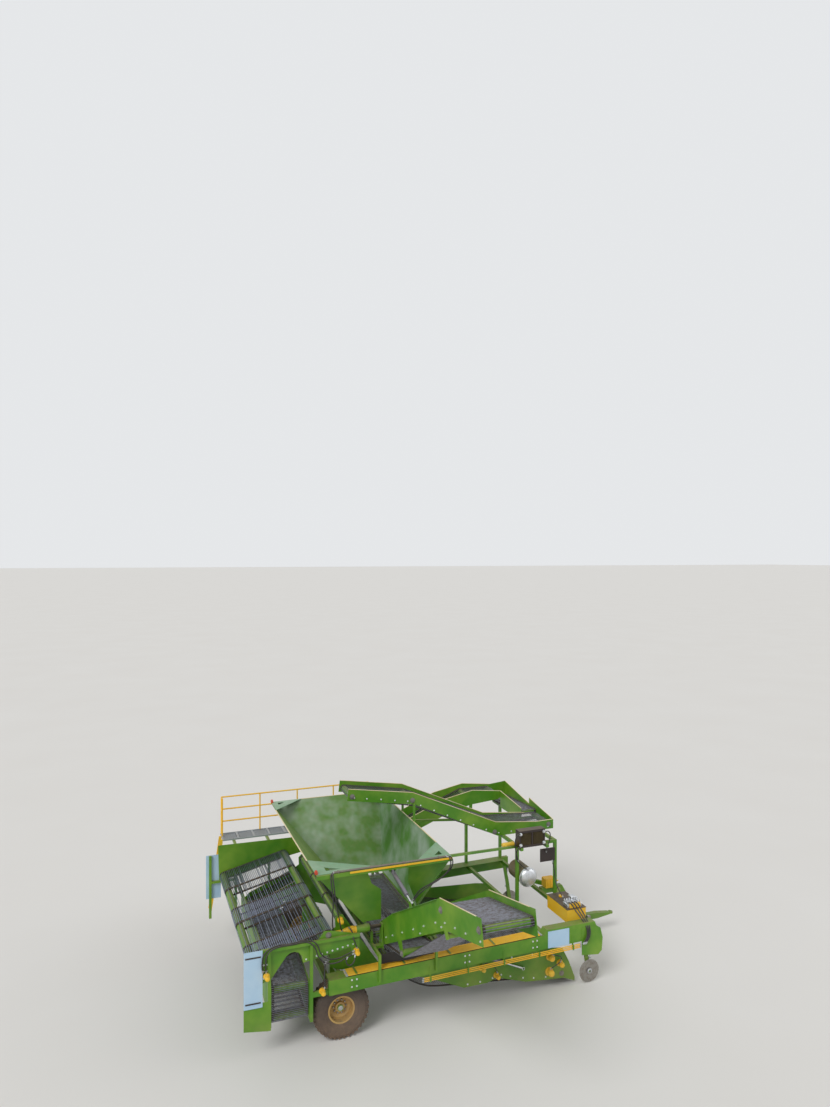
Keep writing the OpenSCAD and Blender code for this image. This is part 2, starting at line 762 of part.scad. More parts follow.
// Floor web of the hopper with its rollers, drawn with X for the machine's Y
floor_rollers = [[-1880, 2080, 70], [1400, 2080, 70]];

module hopper_floor() {
    color(web_grey) across() translate([0, floor_rear + 20, 0])
        rod_web(floor_rollers, floor_front - floor_rear - 40, conveyor_pitch, 3);
}

leg_w = 60;
leg_x = [floor_rear - wall_t - leg_w + 20, floor_front + wall_t - 20];
portal_z = 1940;

module hopper_frame() {
    color(green) {
        for (x = leg_x) {
            // Portal over the crop flow, standing on the beams
            plate_xz([
                [x, beam_top(x) + ledge_t], [x + leg_w, beam_top(x + leg_w) + ledge_t],
                [x + leg_w, portal_z - 80], [x, portal_z - 80]
            ], frame_w / 2 - 100, 100);
            box([x, -frame_w / 2 - leg_w, beam_at(x) + 80], [x + leg_w, -frame_w / 2, portal_z - 80]);
            box([x, -frame_w / 2 - leg_w, portal_z - 80], [x + leg_w, frame_w / 2, portal_z]);
            // Rail under the hopper's lower edge, on three short posts
            box([x, floor_right, floor_z - 50], [x + leg_w, floor_left + wall_t, floor_z]);
            for (y = [floor_right, -300, floor_left - 50])
                box([x, y, portal_z], [x + leg_w, y + 60, floor_z - 50]);
        }
        // Bearing plates at the elevator pivot
        for (x = [boom_x - 42, boom_x + boom_w + 22])
            plate_yz([
                [boom_y - 160, portal_z - 60], [boom_y + 130, portal_z - 60], [boom_y + 130, portal_z + 40],
                [boom_y + 70, boom_z + 60], [boom_y - 70, boom_z + 60], [boom_y - 160, portal_z + 60]
            ], x, 20);
        box([leg_x[0] + leg_w, boom_y - 60, portal_z - 60], [boom_x - 22, boom_y + 60, portal_z]);
        box([boom_x + boom_w + 22, boom_y - 60, portal_z - 60], [leg_x[1], boom_y + 60, portal_z]);
        box([leg_x[0] + leg_w, floor_left - 60, portal_z - 60], [leg_x[1], floor_left + 60, portal_z]);
    }
    color(steel) {
        x_rod(boom_y, boom_z, boom_x - 42, boom_x + boom_t - 2, boom_pin_d);
        x_rod(boom_y, boom_z, boom_x + boom_w - boom_t + 2, boom_x + boom_w + 42, boom_pin_d);
        for (i = [0, 1]) across() web_rollers(floor_rollers, [i], leg_x[0] + leg_w, leg_x[1]);
    }
}

// Front tower

tower_x = [cross_rows[2][0] - 40, cross_rows[3][0] - 40];
tower_y = [-950, lift_y1 - 80];
tower_low = [cross_top(2), cross_top(3)];
ring_h = 80;

// Outer face of the hopper's front wall at the height z, with a seating gap
function front_face(z) =
    rim_front + wall_t + 0.2 - (rim_front - floor_front) * (rim_z - z) / (rim_z - floor_z);

module tower() {
    color(green) {
        for (k = [0, 1]) {
            x = tower_x[k];
            box([x, tower_y[0], tower_low[k]], [x + 80, tower_y[0] + 80, ring_z - ring_h]);
            plate_xz([
                [x, beam_top(x) + ledge_t], [x + 80, beam_top(x + 80) + ledge_t],
                [x + 80, ring_z - ring_h], [x, ring_z - ring_h]
            ], frame_w / 2 - 100, 80);
            box([x, tower_y[0], ring_z - ring_h], [x + 80, lift_y1 + side_t, ring_z]);
        }
        box([tower_x[0] + 80, tower_y[0], ring_z - ring_h], [tower_x[1], tower_y[0] + 80, ring_z]);
        // Arms under the oil cooler
        for (x = [tower_x[0], tower_x[1] - 400])
            box([x, tower_y[0] - 260, ring_z - ring_h], [x + 80, tower_y[0], ring_z]);
        // Stays back to the hopper's front wall
        difference() {
            union() {
                bar([tower_x[0] + 2, tower_y[0] + 40, ring_z - 50],
                    [rim_front - 40, rim_right + 130, rim_z - 40], 60, 60);
                bar([tower_x[0] + 2, floor_left, ring_z - 40],
                    [rim_front - 150, floor_left, rim_z - 480], 60, 60);
            }
            plate_xz([
                [0, floor_z], [front_face(floor_z), floor_z], [front_face(rim_z + 90), rim_z + 90],
                [0, rim_z + 90]
            ], rim_right, rim_left - rim_right);
        }
    }
}

module cooler() {
    color("#3a2426") {
        difference() {
            box([tower_x[0] - 40, tower_y[0] - 250, ring_z],
                [tower_x[0] + 760, tower_y[0] - 20, ring_z + 460]);
            for (k = [0, 1])
                box([tower_x[0] + 380 * k, tower_y[0] - 251, ring_z + 60],
                    [tower_x[0] + 340 + 380 * k, tower_y[0] - 210, ring_z + 400]);
        }
        box([tower_x[1] - 460, tower_y[0] - 30, ring_z - 560], [tower_x[1], tower_y[0], ring_z - 200]);
    }
}

module tank() {
    color(yellow) {
        box([6260, -2200, cross_top(3)], [6830, -1150, cross_top(3) + 350]);
        for (y = [-2000, -1400])
            translate([6540, y, cross_top(3) + 350]) cylinder(h = 40, d = 120, $fn = 32);
    }
    color(steel) box([6380, -2150, cross_top(3) + 350], [6700, -2090, cross_top(3) + 470]);
}

filter_d = 480;

module filter() {
    x = tower_x[0] + 80 + filter_d / 2;
    color(steel) y_rod(x, 2480, tower_y[0] - 60, tower_y[0] - 30, filter_d);
    color("#5d5236") y_rod(x, 2480, tower_y[0] - 30, tower_y[0] + 650, filter_d);
}

// Steel pipes of the hydraulic system along the right beam

beam_slope = atan(beam_rise / (beam_front - beam_rear));

// Frame with X along the beam, Y as the machine's and Z = 0 on the beam's underside
module along_beam() {
    translate([beam_rear, 0, beam_z]) rotate([0, -beam_slope, 0]) children();
}

pipe_d = 34;
pipe_pitch = 42;
upper_pipes = 8;
lower_pipes = 3;

module pipes_upper() {
    y0 = -frame_w / 2 + 10;
    z = beam_h + ledge_t + 8 + pipe_d / 2;
    color(yellow) along_beam() {
        for (k = [0 : upper_pipes - 1])
            translate([450, y0 + pipe_d / 2 + pipe_pitch * k, z]) rotate([0, 90, 0])
                cylinder(h = 5200, d = pipe_d, $fn = 24);
        for (x = [650 : 1200 : 5450])
            box([x, y0 - 5, beam_h + ledge_t], [x + 50, y0 + upper_pipes * pipe_pitch, z + pipe_d / 2 + 6]);
    }
}

low_pipe = [2000, 1080];
low_slope = 1.1;

module pipes_lower() {
    y = -frame_w / 2 - 12 - pipe_d / 2;
    h = pipe_d / 2 + 6;
    color(yellow) translate([low_pipe[0], y, low_pipe[1]]) rotate([0, -low_slope, 0]) {
        for (k = [0 : lower_pipes - 1])
            translate([0, 0, pipe_pitch * k]) rotate([0, 90, 0]) cylinder(h = 4400, d = pipe_d, $fn = 24);
        for (x = [150 : 1000 : 4150])
            box([x, -h, -h], [x + 50, h, pipe_pitch * (lower_pipes - 1) + h]);
    }
    // Hanger straps on the beam's side
    color(green) for (x = [150 : 1000 : 4150]) {
        z = low_pipe[1] + x * tan(low_slope);
        box([low_pipe[0] + x + 5, -frame_w / 2 - 12, z - 10],
            [low_pipe[0] + x + 45, -frame_w / 2, z + 330]);
    }
}

// Gearbox on the drawbar with its power shaft stub

module driveline() {
    x = tongue_x + 120;
    z = tongue_z + half_tongue;
    color("#b98a1f") {
        box([x, -130, z], [x + 330, 130, z + 250]);
        x_rod(0, z + 125, x + 330, x + 380, 150);
    }
    color(steel) x_rod(0, z + 125, x + 380, x + 380 + pto_len, pto_d);
}

// Walkway

walk_y0 = 3400;
walk_x0 = -2050;
stand_x = [900, walk_x0 + walk_len - 200];
cells = 10;
cell = (walk_len - 50) / cells;

module walkway() {
    color("#7f8790") difference() {
        box([walk_x0, walk_y0, walk_z - 40], [walk_x0 + walk_len, walk_y0 + walk_w, walk_z]);
        for (k = [0 : cells - 1])
            box([walk_x0 + 40 + cell * k, walk_y0 + 30, walk_z - 30],
                [walk_x0 + cell * (k + 1) - 30, walk_y0 + walk_w - 30, walk_z + 1]);
    }
    // Stands on the left beam, outside the lift conveyor
    y = left_post_y - post_w / 2;
    color(green) for (x = stand_x) {
        box([x, frame_w / 2, beam_at(x) + 120], [x + post_w, y, beam_at(x) + 190]);
        box([x, y, beam_at(x) + 120], [x + post_w, y + post_w, walk_z - 100]);
        box([x, y, walk_z - 100], [x + post_w, walk_y0 + walk_w, walk_z - 40]);
    }
}

module guard_rails() {
    y = walk_y0 + walk_w - 30;
    x0 = walk_x0 + 30;
    x1 = walk_x0 + walk_len - 30;
    color(yellow) {
        for (h = [rail_h, rail_h * 2 / 3, rail_h / 3]) {
            x_rod(y, walk_z + h, x0, x1, rail_d);
            y_rod(x0, walk_z + h, walk_y0 + 350, y, rail_d);
        }
        for (k = [0 : 4])
            rod([x0 + (x1 - x0) * k / 4, y, walk_z], [x0 + (x1 - x0) * k / 4, y, walk_z + rail_h], rail_d);
        rod([x0, walk_y0 + 350, walk_z], [x0, walk_y0 + 350, walk_z + rail_h], rail_d);
    }
}

ladder_y = [walk_y0 + 30, walk_y0 + 330];

module ladder() {
    stringer = [
        [walk_x0, walk_z], [walk_x0, walk_z - 120], [walk_x0 - 320, 900], [walk_x0 - 380, 900],
        [walk_x0 - 70, walk_z]
    ];
    color(yellow) {
        for (y = ladder_y) plate_xz(stringer, y, 25);
        for (k = [0 : 6])
            y_rod(walk_x0 - 345 + 45 * k, 1000 + 290 * k, ladder_y[0] + 25, ladder_y[1], 30);
    }
}

module lamps() {
    color("#c8402a") {
        for (y = [rim_right + 20, rim_left - 120])
            box([rim_rear - 20, y, rim_z + gusset_t], [rim_rear + 40, y + 100, rim_z + gusset_t + 50]);
    }
}

// Digger

dig_rollers = [[6080, 330, 70], [digger_x, digger_z, 100], [2700, 2070, 1450]];
dig_pin_d = 80;

module digger_sides() {
    outline = [
        [1180, 1270], [1210, 1500], [1300, 1520], [1550, 1500], [3000, 1230], [5600, 1080],
        [6100, 1000], [6300, 620], [6480, 170], [6480, 60], [6160, 190], [5600, 240], [5000, 300],
        [4200, 560], [3900, 480], [3250, 480], [2300, 900]
    ];
    color(green) {
        for (s = [-1, 1]) difference() {
            union() {
                plate_xz(outline, s > 0 ? digger_half_w - side_t : -digger_half_w, side_t);
                // Pivot boss and the ear of the lift cylinder
                y0 = s > 0 ? digger_half_w : -digger_half_w - 20;
                y_rod(digger_x, digger_z, y0, y0 + 20, dig_pin_d + 60);
            }
            y_rod(digger_x, digger_z, s > 0 ? digger_half_w - side_t : -digger_half_w - 21,
                s > 0 ? digger_half_w + 21 : -digger_half_w + side_t, dig_pin_d + 2 * bearing_gap);
        }
        web_rollers(dig_rollers, [0, 1], -digger_half_w + side_t, digger_half_w - side_t);
    }
}

module digger_web() {
    color(web_grey) translate([0, -digger_half_w + side_t + 15, 0])
        rod_web(dig_rollers, 2 * (digger_half_w - side_t - 15), web_pitch, 4);
}

module shares() {
    color(steel) plate_xz([[6172, 330], [6440, 70], [6470, 70], [6200, 370]],
        -digger_half_w + side_t, 2 * (digger_half_w - side_t));
}

disc_x = 6850;
disc_y = 2330;
disc_z = disc_d / 2 + 20;
disc_pin_d = 40;

module disc_arms() {
    z = cross_top(3) - cross_w;
    color(green) for (s = [-1, 1]) {
        plate_xz([
            [6600, z], [6680, z], [6800, 1000], [disc_x + 50, disc_z + 40], [disc_x + 50, disc_z - 50],
            [disc_x - 50, disc_z - 50], [disc_x - 60, disc_z + 60], [6700, 1000]
        ], s > 0 ? disc_y - 90 : -disc_y + 30, 60);
        y0 = s > 0 ? disc_y - 30 : -disc_y - 30;
        y_rod(disc_x, disc_z, y0, y0 + 60, disc_pin_d);
    }
}

module disc(side) {
    bore_r = disc_pin_d / 2 + bearing_gap;
    color(steel) translate([disc_x, side * disc_y, disc_z]) rotate([90, 0, 0])
        rotate_extrude($fn = 64) polygon([
            [bore_r, -20], [60, -20], [60, -disc_t / 2], [disc_d / 2 - 30, -disc_t / 2],
            [disc_d / 2, 0], [disc_d / 2 - 30, disc_t / 2], [60, disc_t / 2], [60, 20], [bore_r, 20]
        ]);
}

// Unloading elevator

// Moves shapes drawn with the elevator level along -Y and its pivot at zero
module boom_place() {
    translate([0, boom_y, boom_z]) rotate([-boom_angle, 0, 0]) children();
}

bend_c = cos(boom_bend);
bend_s = sin(boom_bend);
function beyond(u, v) = [-(boom_len + u * bend_c + v * bend_s), -u * bend_s + v * bend_c];

module boom_sides() {
    outline = [
        [80, 90], [-913, 170], [-boom_len, 170], beyond(boom_end_len, 170), beyond(boom_end_len, -310),
        beyond(240, -400), [-boom_len - 140, -600], [-boom_len + 20, -600], [-boom_len + 60, -428],
        [-1340, -430], [-1310, -770], [-1190, -770], [-1040, -430], [150, -430], [230, -440],
        [190, -150]
    ];
    color(green) boom_place() {
        for (k = [0, 1]) difference() {
            x = k == 0 ? boom_x : boom_x + boom_w - boom_t;
            b = k == 0 ? boom_x - 20 : boom_x + boom_w;
            union() {
                plate_yz(outline, x, boom_t);
                x_rod(0, 0, b, b + 20, boom_pin_d + 50);
                // Folded lip along the top edge
                lip = k == 0 ? boom_x - lip_w : boom_x + boom_w - boom_t / 2;
                box([lip, -boom_len + 200, 156], [lip + lip_w + boom_t / 2, -950, 164]);
            }
            x_rod(0, 0, min(b, x) - 1, max(b, x) + 21, boom_pin_d + 2 * bearing_gap);
        }
        // Ears of the lift cylinder on the rear side plate
        for (x = [ram_x - 25 - 16, ram_x + 25 + 6])
            plate_yz([
                [-ram_ear[0] + 110, 170], [-ram_ear[0] + 40, ram_ear[1] + 40],
                [-ram_ear[0] - 40, ram_ear[1] + 40], [-ram_ear[0] - 110, 170],
                [-ram_ear[0] - 60, 120], [-ram_ear[0] + 60, 120]
            ], x, 10);
        box([boom_x + boom_t, -ram_ear[0] - 60, 130], [ram_x + 31, -ram_ear[0] + 60, 150]);
        across() web_rollers(boom_rollers, [0 : 4], boom_x + boom_t, boom_x + boom_w - boom_t);
    }
}

// Rollers in the elevator's own level frame, with X for the machine's Y
boom_rollers = [
    [140, -330, 80], [-boom_len + 30, -50, 85], concat(beyond(boom_end_len - 120, -50), 85),
    [-boom_len - 40, -535, -70], [-1250, -690, 90]
];
lip_w = 40;

module boom_web() {
    color(web_grey) boom_place() across() translate([0, boom_x + boom_t + 10, 0])
        rod_web(boom_rollers, boom_w - 2 * boom_t - 20, conveyor_pitch, 2);
}

// Lift cylinder of the elevator: from a pin on the hopper's right wall to an ear on top
// of the rear side plate. Its rod eye stays open round the ear's pin.
ram_x = boom_x + 60;
ram_top = [ram_x, -2700, 3930];
ram_ear = [2280, 255];
ram_eye = let (p = ram_ear, a = boom_angle)
    [ram_x, boom_y - p[0] * cos(a) + p[1] * sin(a), boom_z + p[0] * sin(a) + p[1] * cos(a)];
ram_pin_d = 40;
ram_d = 100;
ram_rod_d = 50;

// Cylinder barrel from its pin eye at a towards b, bored for its rod
module barrel(a, b, len, d, bore_d, pin_d, w) {
    translate(a) rotate(tilt_of(a, b)) difference() {
        union() {
            translate([0, 0, pin_d * 1.1]) cylinder(h = len - pin_d * 1.1, d = d, $fn = 32);
            translate([0, w / 2, 0]) rotate([90, 0, 0]) cylinder(h = w, d = pin_d * 2, $fn = 32);
            translate([-pin_d * 0.7, -w / 2, 0]) cube([pin_d * 1.4, w, pin_d * 1.3]);
        }
        translate([0, w / 2 + 1, 0]) rotate([90, 0, 0])
            cylinder(h = w + 2, d = pin_d + 2 * bearing_gap, $fn = 32);
        translate([0, 0, pin_d * 1.8]) cylinder(h = len, d = bore_d, $fn = 32);
    }
}

// Cylinder rod that ends in an eye at b and reaches back towards a
module ram_rod(a, b, reach, d, pin_d, gap, w) {
    translate(b) rotate(tilt_of(b, a)) difference() {
        union() {
            translate([0, 0, pin_d * 0.9]) cylinder(h = reach - pin_d * 0.9, d = d, $fn = 32);
            translate([0, w / 2, 0]) rotate([90, 0, 0]) cylinder(h = w, d = pin_d * 2, $fn = 32);
        }
        translate([0, w / 2 + 1, 0]) rotate([90, 0, 0])
            cylinder(h = w + 2, d = pin_d + 2 * gap, $fn = 32);
    }
}

module boom_barrels() {
    color(steel) barrel(ram_top, ram_eye, 1050, ram_d, ram_rod_d + 2 * bearing_gap, ram_pin_d, 50);
}

module boom_rods() {
    color(steel) ram_rod(ram_top, ram_eye, 1000, ram_rod_d, ram_pin_d, 6, 50);
}

// Digger lift cylinders, one inside each side beam
dig_pin = [3300, 1420];
dig_ear = [4900, 700];
dig_y = digger_half_w + 60;
dig_w = 50;

module dig_barrels() {
    a = [dig_pin[0], 0, dig_pin[1]];
    b = [dig_ear[0], 0, dig_ear[1]];
    color(steel) for (s = [-1, 1]) translate([0, s * dig_y, 0])
        barrel(a, b, 1150, 90, ram_rod_d + 2 * bearing_gap, ram_pin_d, dig_w);
}

module dig_rods() {
    a = [dig_pin[0], 0, dig_pin[1]];
    b = [dig_ear[0], 0, dig_ear[1]];
    color(steel) for (s = [-1, 1]) translate([0, s * dig_y, 0])
        ram_rod(a, b, 1200, ram_rod_d, ram_pin_d, 6, dig_w);
}

// Hydraulic motors that drive the webs: [x, z] on the right side plates
motor_places = [[3740, 900, -digger_half_w], [4150, 640, -digger_half_w]];

module motor_y(x, z, y, out) {
    y_rod(x, z, min(y, y + out * 60), max(y, y + out * 60), 150);
    y_rod(x, z, min(y + out * 60, y + out * 190), max(y + out * 60, y + out * 190), 100);
}

module motors() {
    color(yellow) {
        motor_y(riser_rollers[1][0], riser_rollers[1][1], -riser_y - side_t, -1);
        // Flat drive of the haulm web, behind the right board
        y_rod(haulm_rollers[0][0], haulm_rollers[0][1], haulm_y[0] - side_t - 65, haulm_y[0] - side_t, 150);
        // Drive of the elevator, on the axis of its pivot
        x_rod(boom_y, boom_z, 640, boom_x - 42, 90);
        x_rod(boom_y, boom_z, 400, 640, 180);
        x_rod(boom_y, boom_z, -170, 400, 150);
    }
}

module digger_motors() {
    color(yellow) for (m = motor_places) motor_y(m[0], m[1], m[2], -1);
}

place() side_beam(-1);  // beam_right
place() side_beam(1);  // beam_left
place() cross_tubes();
place() axle();
place() tongue();
place() jack();
place() tyre(-1);  // tyre_right
place() tyre(1);  // tyre_left
place() rim(-1);  // rim_right
place() rim(1);  // rim_left
place() rear_frame();
place() boards();
place() deck_sides();
place() deck_web();
place() cross_sides();
place() cross_web();
place() lift_sides();
place() lift_web();
place() trough();
place() trough_web();
place() fill_sides();
place() fill_web();
place() hopper_rear();
place() hopper_front();
place() hopper_left();
place() hopper_right();
place() hopper_corners();
place() hopper_floor();
place() hopper_frame();
place() tower();
place() cooler();
place() tank();
place() filter();
place() pipes_upper();
place() pipes_lower();
place() driveline();
place() walkway();
place() guard_rails();
place() ladder();
place() lamps();
place() digger_sides();
place() digger_web();
place() digger_motors();
place() shares();
place() disc_arms();
place() disc(-1);  // disc_right
place() disc(1);  // disc_left
place() boom_sides();
place() boom_web();
place() boom_barrels();
place() boom_rods();
place() dig_barrels();
place() dig_rods();
place() motors();
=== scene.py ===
import bpy
from math import asin, atan2, ceil, cos, floor, pi, radians, sin
from mathutils import Matrix, Vector


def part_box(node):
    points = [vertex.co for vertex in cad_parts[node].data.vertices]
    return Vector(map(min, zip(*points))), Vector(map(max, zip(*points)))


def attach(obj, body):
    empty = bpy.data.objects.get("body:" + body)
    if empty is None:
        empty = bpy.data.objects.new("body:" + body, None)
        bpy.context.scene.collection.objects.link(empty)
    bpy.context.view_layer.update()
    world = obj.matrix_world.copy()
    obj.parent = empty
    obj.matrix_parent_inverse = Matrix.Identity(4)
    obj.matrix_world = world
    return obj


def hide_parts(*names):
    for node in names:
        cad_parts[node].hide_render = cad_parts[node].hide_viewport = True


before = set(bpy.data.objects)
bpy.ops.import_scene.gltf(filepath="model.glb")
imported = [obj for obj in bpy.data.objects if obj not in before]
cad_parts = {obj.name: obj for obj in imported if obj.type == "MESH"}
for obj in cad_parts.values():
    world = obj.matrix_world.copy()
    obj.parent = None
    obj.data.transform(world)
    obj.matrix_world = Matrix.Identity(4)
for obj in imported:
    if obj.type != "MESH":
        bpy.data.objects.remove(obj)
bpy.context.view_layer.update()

# Camera. The photograph was taken level, with a wide lens, from the machine's right side, a
# little behind it and about eleven metres up. Places are given from the ground below the axle.
wheel_low, wheel_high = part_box("tyre_right")
axle_x = (wheel_low.x + wheel_high.x) / 2
ground_z = wheel_low.z


def at(x, y, z):
    """Place x metres ahead of the axle, y to the left of the middle and z above ground."""
    return Vector((axle_x + x, y, ground_z + z))


photo_height = 1107
focal_pixels = 790
horizon_drop = 2.5
sensor = 36
camera_place = at(-4.906, -20.481, 11.4)
camera_heading = radians(-20.5)
bpy.ops.object.camera_add(location=camera_place, rotation=(radians(90), 0, camera_heading))
camera = bpy.context.object
camera.data.sensor_width = sensor
camera.data.lens = sensor * focal_pixels / photo_height
camera.data.shift_y = horizon_drop / photo_height
camera.data.clip_end = 2000
bpy.context.scene.camera = camera
bpy.context.scene.view_settings.view_transform = "Standard"

# Floor and studio light. The floor is a pale matt sheet. A wide soft lamp stands behind the
# camera's left shoulder, a weaker one in front of the machine, and the room fills the rest.


def linear(hex_colour):
    """Linear colour from an sRGB hex value."""
    shares = [int(hex_colour[i:i + 2], 16) / 255 for i in (1, 3, 5)]
    return [c / 12.92 if c <= 0.04045 else ((c + 0.055) / 1.055) ** 2.4 for c in shares] + [1]


def put(tree, kind, settings=None, links=None):
    """Adds a shader node. Lower-case settings are its own, the others are its sockets."""
    made = tree.nodes.new("ShaderNode" + kind)
    for key, value in (settings or {}).items():
        if isinstance(key, str) and key[0].islower():
            setattr(made, key, value)
        else:
            made.inputs[key].default_value = value
    for key, source in (links or {}).items():
        tree.links.new(source, made.inputs[key])
    return made


def new_finish(name, slot):
    """Empty material that remembers which of the record's material slots it belongs to."""
    finish = bpy.data.materials.new(name)
    finish.use_nodes = True
    finish.node_tree.nodes.clear()
    finish["slot"] = slot
    return finish


def deselect():
    """Leaves edit mode and deselects everything."""
    if bpy.context.mode != "OBJECT":
        bpy.ops.object.mode_set(mode="OBJECT")
    bpy.ops.object.select_all(action="DESELECT")


deselect()
bpy.ops.mesh.primitive_plane_add(size=1600, location=(0, 0, ground_z))
floor_sheet = bpy.context.object
floor_sheet.name = "studio_floor"
floor_paper = new_finish("matt_paper", "")
paper = floor_paper.node_tree
paper_place = put(paper, "TexCoord").outputs["Object"]
grain = put(paper, "TexNoise", {"Scale": 0.2, "Detail": 2}, {"Vector": paper_place})
tone = put(paper, "MixRGB", {"Color1": linear("#dedcd8"), "Color2": linear("#e2e1de")},
           {"Fac": grain.outputs["Fac"]})
sheet_shader = put(paper, "BsdfPrincipled", {"Roughness": 0.9}, {"Base Color": tone.outputs["Color"]})
put(paper, "OutputMaterial", {}, {"Surface": sheet_shader.outputs["BSDF"]})
floor_sheet.data.materials.append(floor_paper)

room = bpy.data.worlds.new("studio_room")
bpy.context.scene.world = room
room.use_nodes = True
air = room.node_tree
air.nodes.clear()
ray = put(air, "LightPath")
seen = put(air, "Math", {"operation": "MAXIMUM"},
           {0: ray.outputs["Is Camera Ray"], 1: ray.outputs["Is Glossy Ray"]})
seen = put(air, "Math", {"operation": "MAXIMUM"}, {0: seen.outputs[0], 1: ray.outputs["Is Transmission Ray"]})
fill = put(air, "Background", {"Color": linear("#ffffff"), "Strength": 0.5})
wall = put(air, "Background", {"Color": linear("#eef0f2"), "Strength": 0.92})
mixed = put(air, "MixShader", {}, {0: seen.outputs[0], 1: fill.outputs[0], 2: wall.outputs[0]})
put(air, "OutputWorld", {}, {"Surface": mixed.outputs[0]})

lamps = [("key_lamp", (48, 0, -52), 1.5, 25), ("front_lamp", (55, 0, 70), 0.45, 40)]
for lamp_name, turn, power, spread in lamps:
    bpy.ops.object.light_add(type="SUN", rotation=[radians(a) for a in turn])
    lamp = bpy.context.object
    lamp.name = lamp_name
    lamp.data.energy = power
    lamp.data.angle = radians(spread)

# Painted plate and tube: mild steel, sprayed with two coats of green enamel. The eye gets a
# satin green with paler sun-faded patches, and field dust on all that faces up or is low.


def enamel(name, slot, fresh, faded, dust="#8f7d5c", roughness=0.38, dusty=0.75):
    """Satin enamel on steel: faded patches, a dust cover on upward faces and soil low down."""
    finish = new_finish(name, slot)
    tree = finish.node_tree
    place = put(tree, "TexCoord").outputs["Object"]
    # Fading in patches of about a metre, dust in blotches of about 15 cm
    patch = put(tree, "TexNoise", {"Scale": 1.1, "Detail": 3, "Roughness": 0.6}, {"Vector": place})
    blotch = put(tree, "TexNoise", {"Scale": 7, "Detail": 6, "Roughness": 0.7}, {"Vector": place})
    fade = put(tree, "MapRange", {"From Min": 0.4, "From Max": 0.72}, {"Value": patch.outputs["Fac"]})
    paint = put(tree, "MixRGB", {"Color1": linear(fresh), "Color2": linear(faded)}, {"Fac": fade.outputs[0]})
    facing = put(tree, "SeparateXYZ", {}, {0: put(tree, "NewGeometry").outputs["Normal"]})
    top = put(tree, "MapRange", {"From Min": 0.25, "From Max": 0.95, "To Max": dusty},
              {"Value": facing.outputs["Z"]})
    height = put(tree, "SeparateXYZ", {}, {0: place})
    low = put(tree, "MapRange",
              {"From Min": ground_z + 1.1, "From Max": ground_z + 0.1, "To Max": 0.75 * dusty},
              {"Value": height.outputs["Z"]})
    both = put(tree, "Math", {"operation": "MAXIMUM"}, {0: top.outputs[0], 1: low.outputs[0]})
    spots = put(tree, "MapRange", {"From Min": 0.33, "From Max": 0.68, "To Min": 0.25},
                {"Value": blotch.outputs["Fac"]})
    cover = put(tree, "Math", {"operation": "MULTIPLY"}, {0: both.outputs[0], 1: spots.outputs[0]})
    # A thin film of dust lies on all faces
    film = put(tree, "Math", {"operation": "MULTIPLY_ADD", 1: 0.9, 2: 0.06 * dusty}, {0: cover.outputs[0]})
    coat = put(tree, "MixRGB", {"Color2": linear(dust)},
               {"Fac": film.outputs[0], "Color1": paint.outputs["Color"]})
    dull = put(tree, "MapRange", {"To Min": roughness, "To Max": 0.85}, {"Value": film.outputs[0]})
    # Rolled sheet is never quite flat, so reflections waver over about 30 cm
    wave = put(tree, "TexNoise", {"Scale": 3.2, "Detail": 1}, {"Vector": place})
    bend = put(tree, "Bump", {"Strength": 0.25, "Distance": 0.02}, {"Height": wave.outputs["Fac"]})
    shader = put(tree, "BsdfPrincipled", {"IOR": 1.5}, {
        "Base Color": coat.outputs["Color"], "Roughness": dull.outputs[0], "Normal": bend.outputs["Normal"]})
    put(tree, "OutputMaterial", {}, {"Surface": shader.outputs["BSDF"]})
    return finish


def dress(finish, *names):
    """Gives CAD nodes a finish in place of their plain colours."""
    for name in names:
        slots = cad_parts[name].data.materials
        slots.clear()
        slots.append(finish)


green_enamel = enamel("green_enamel", "paint_green", "#458607", "#78a22c")
dress(green_enamel, "beam_right", "beam_left", "cross_tubes", "axle", "tongue", "rear_frame", "deck_sides",
      "cross_sides", "lift_sides", "trough", "fill_sides", "hopper_rear", "hopper_front", "hopper_left",
      "hopper_right", "hopper_frame", "tower", "disc_arms", "digger_sides", "boom_sides")

# Corner gussets of the hopper: the same enamel on flat plate, but bleached by weather and
# rubbed pale underfoot, so it reads as a light blue-green.
weathered_and_highlight_green = enamel("weathered_and_highlight_enamel", "paint_green", "#6da37c", "#93b79a", dusty=0.35)
dress(weathered_and_highlight_green, "hopper_corners")

# Inner walls of the bunker: the same enamel, scoured to a dull grey-green in large patches
# where the load slides down.
scoured_enamel = enamel("scoured_enamel", "paint_green", "#477f26", "#9fb3a2", dusty=0.5)
dress(scoured_enamel, "hopper_front", "hopper_left")

# Hydraulic parts, rails and ladder: steel tube and plate, sprayed with yellow enamel. It stays
# a warm yellow, with less dust than the green.
yellow_enamel = enamel("yellow_enamel", "paint_yellow", "#f7bd0c", "#f5ca45", dusty=0.4)
dress(yellow_enamel, "tank", "driveline", "guard_rails", "ladder", "pipes_upper", "pipes_lower", "motors",
      "digger_motors")

# Wheels: rims pressed from steel plate and sprayed with cream enamel. Field dust turns them a
# dull brown.
cream_enamel = enamel("cream_enamel", "paint_cream", "#c9a35a", "#b8925a", roughness=0.5, dusty=1)
dress(cream_enamel, "rim_right", "rim_left")

# Boards at the rear and front: flat aluminium sheet with a baked powder coat. The eye gets an
# even, matt pale blue.
blue_coat = enamel("blue_powder_coat", "paint_blue", "#a9cbe6", "#bcd6ea", roughness=0.6, dusty=0.25)
dress(blue_coat, "boards")

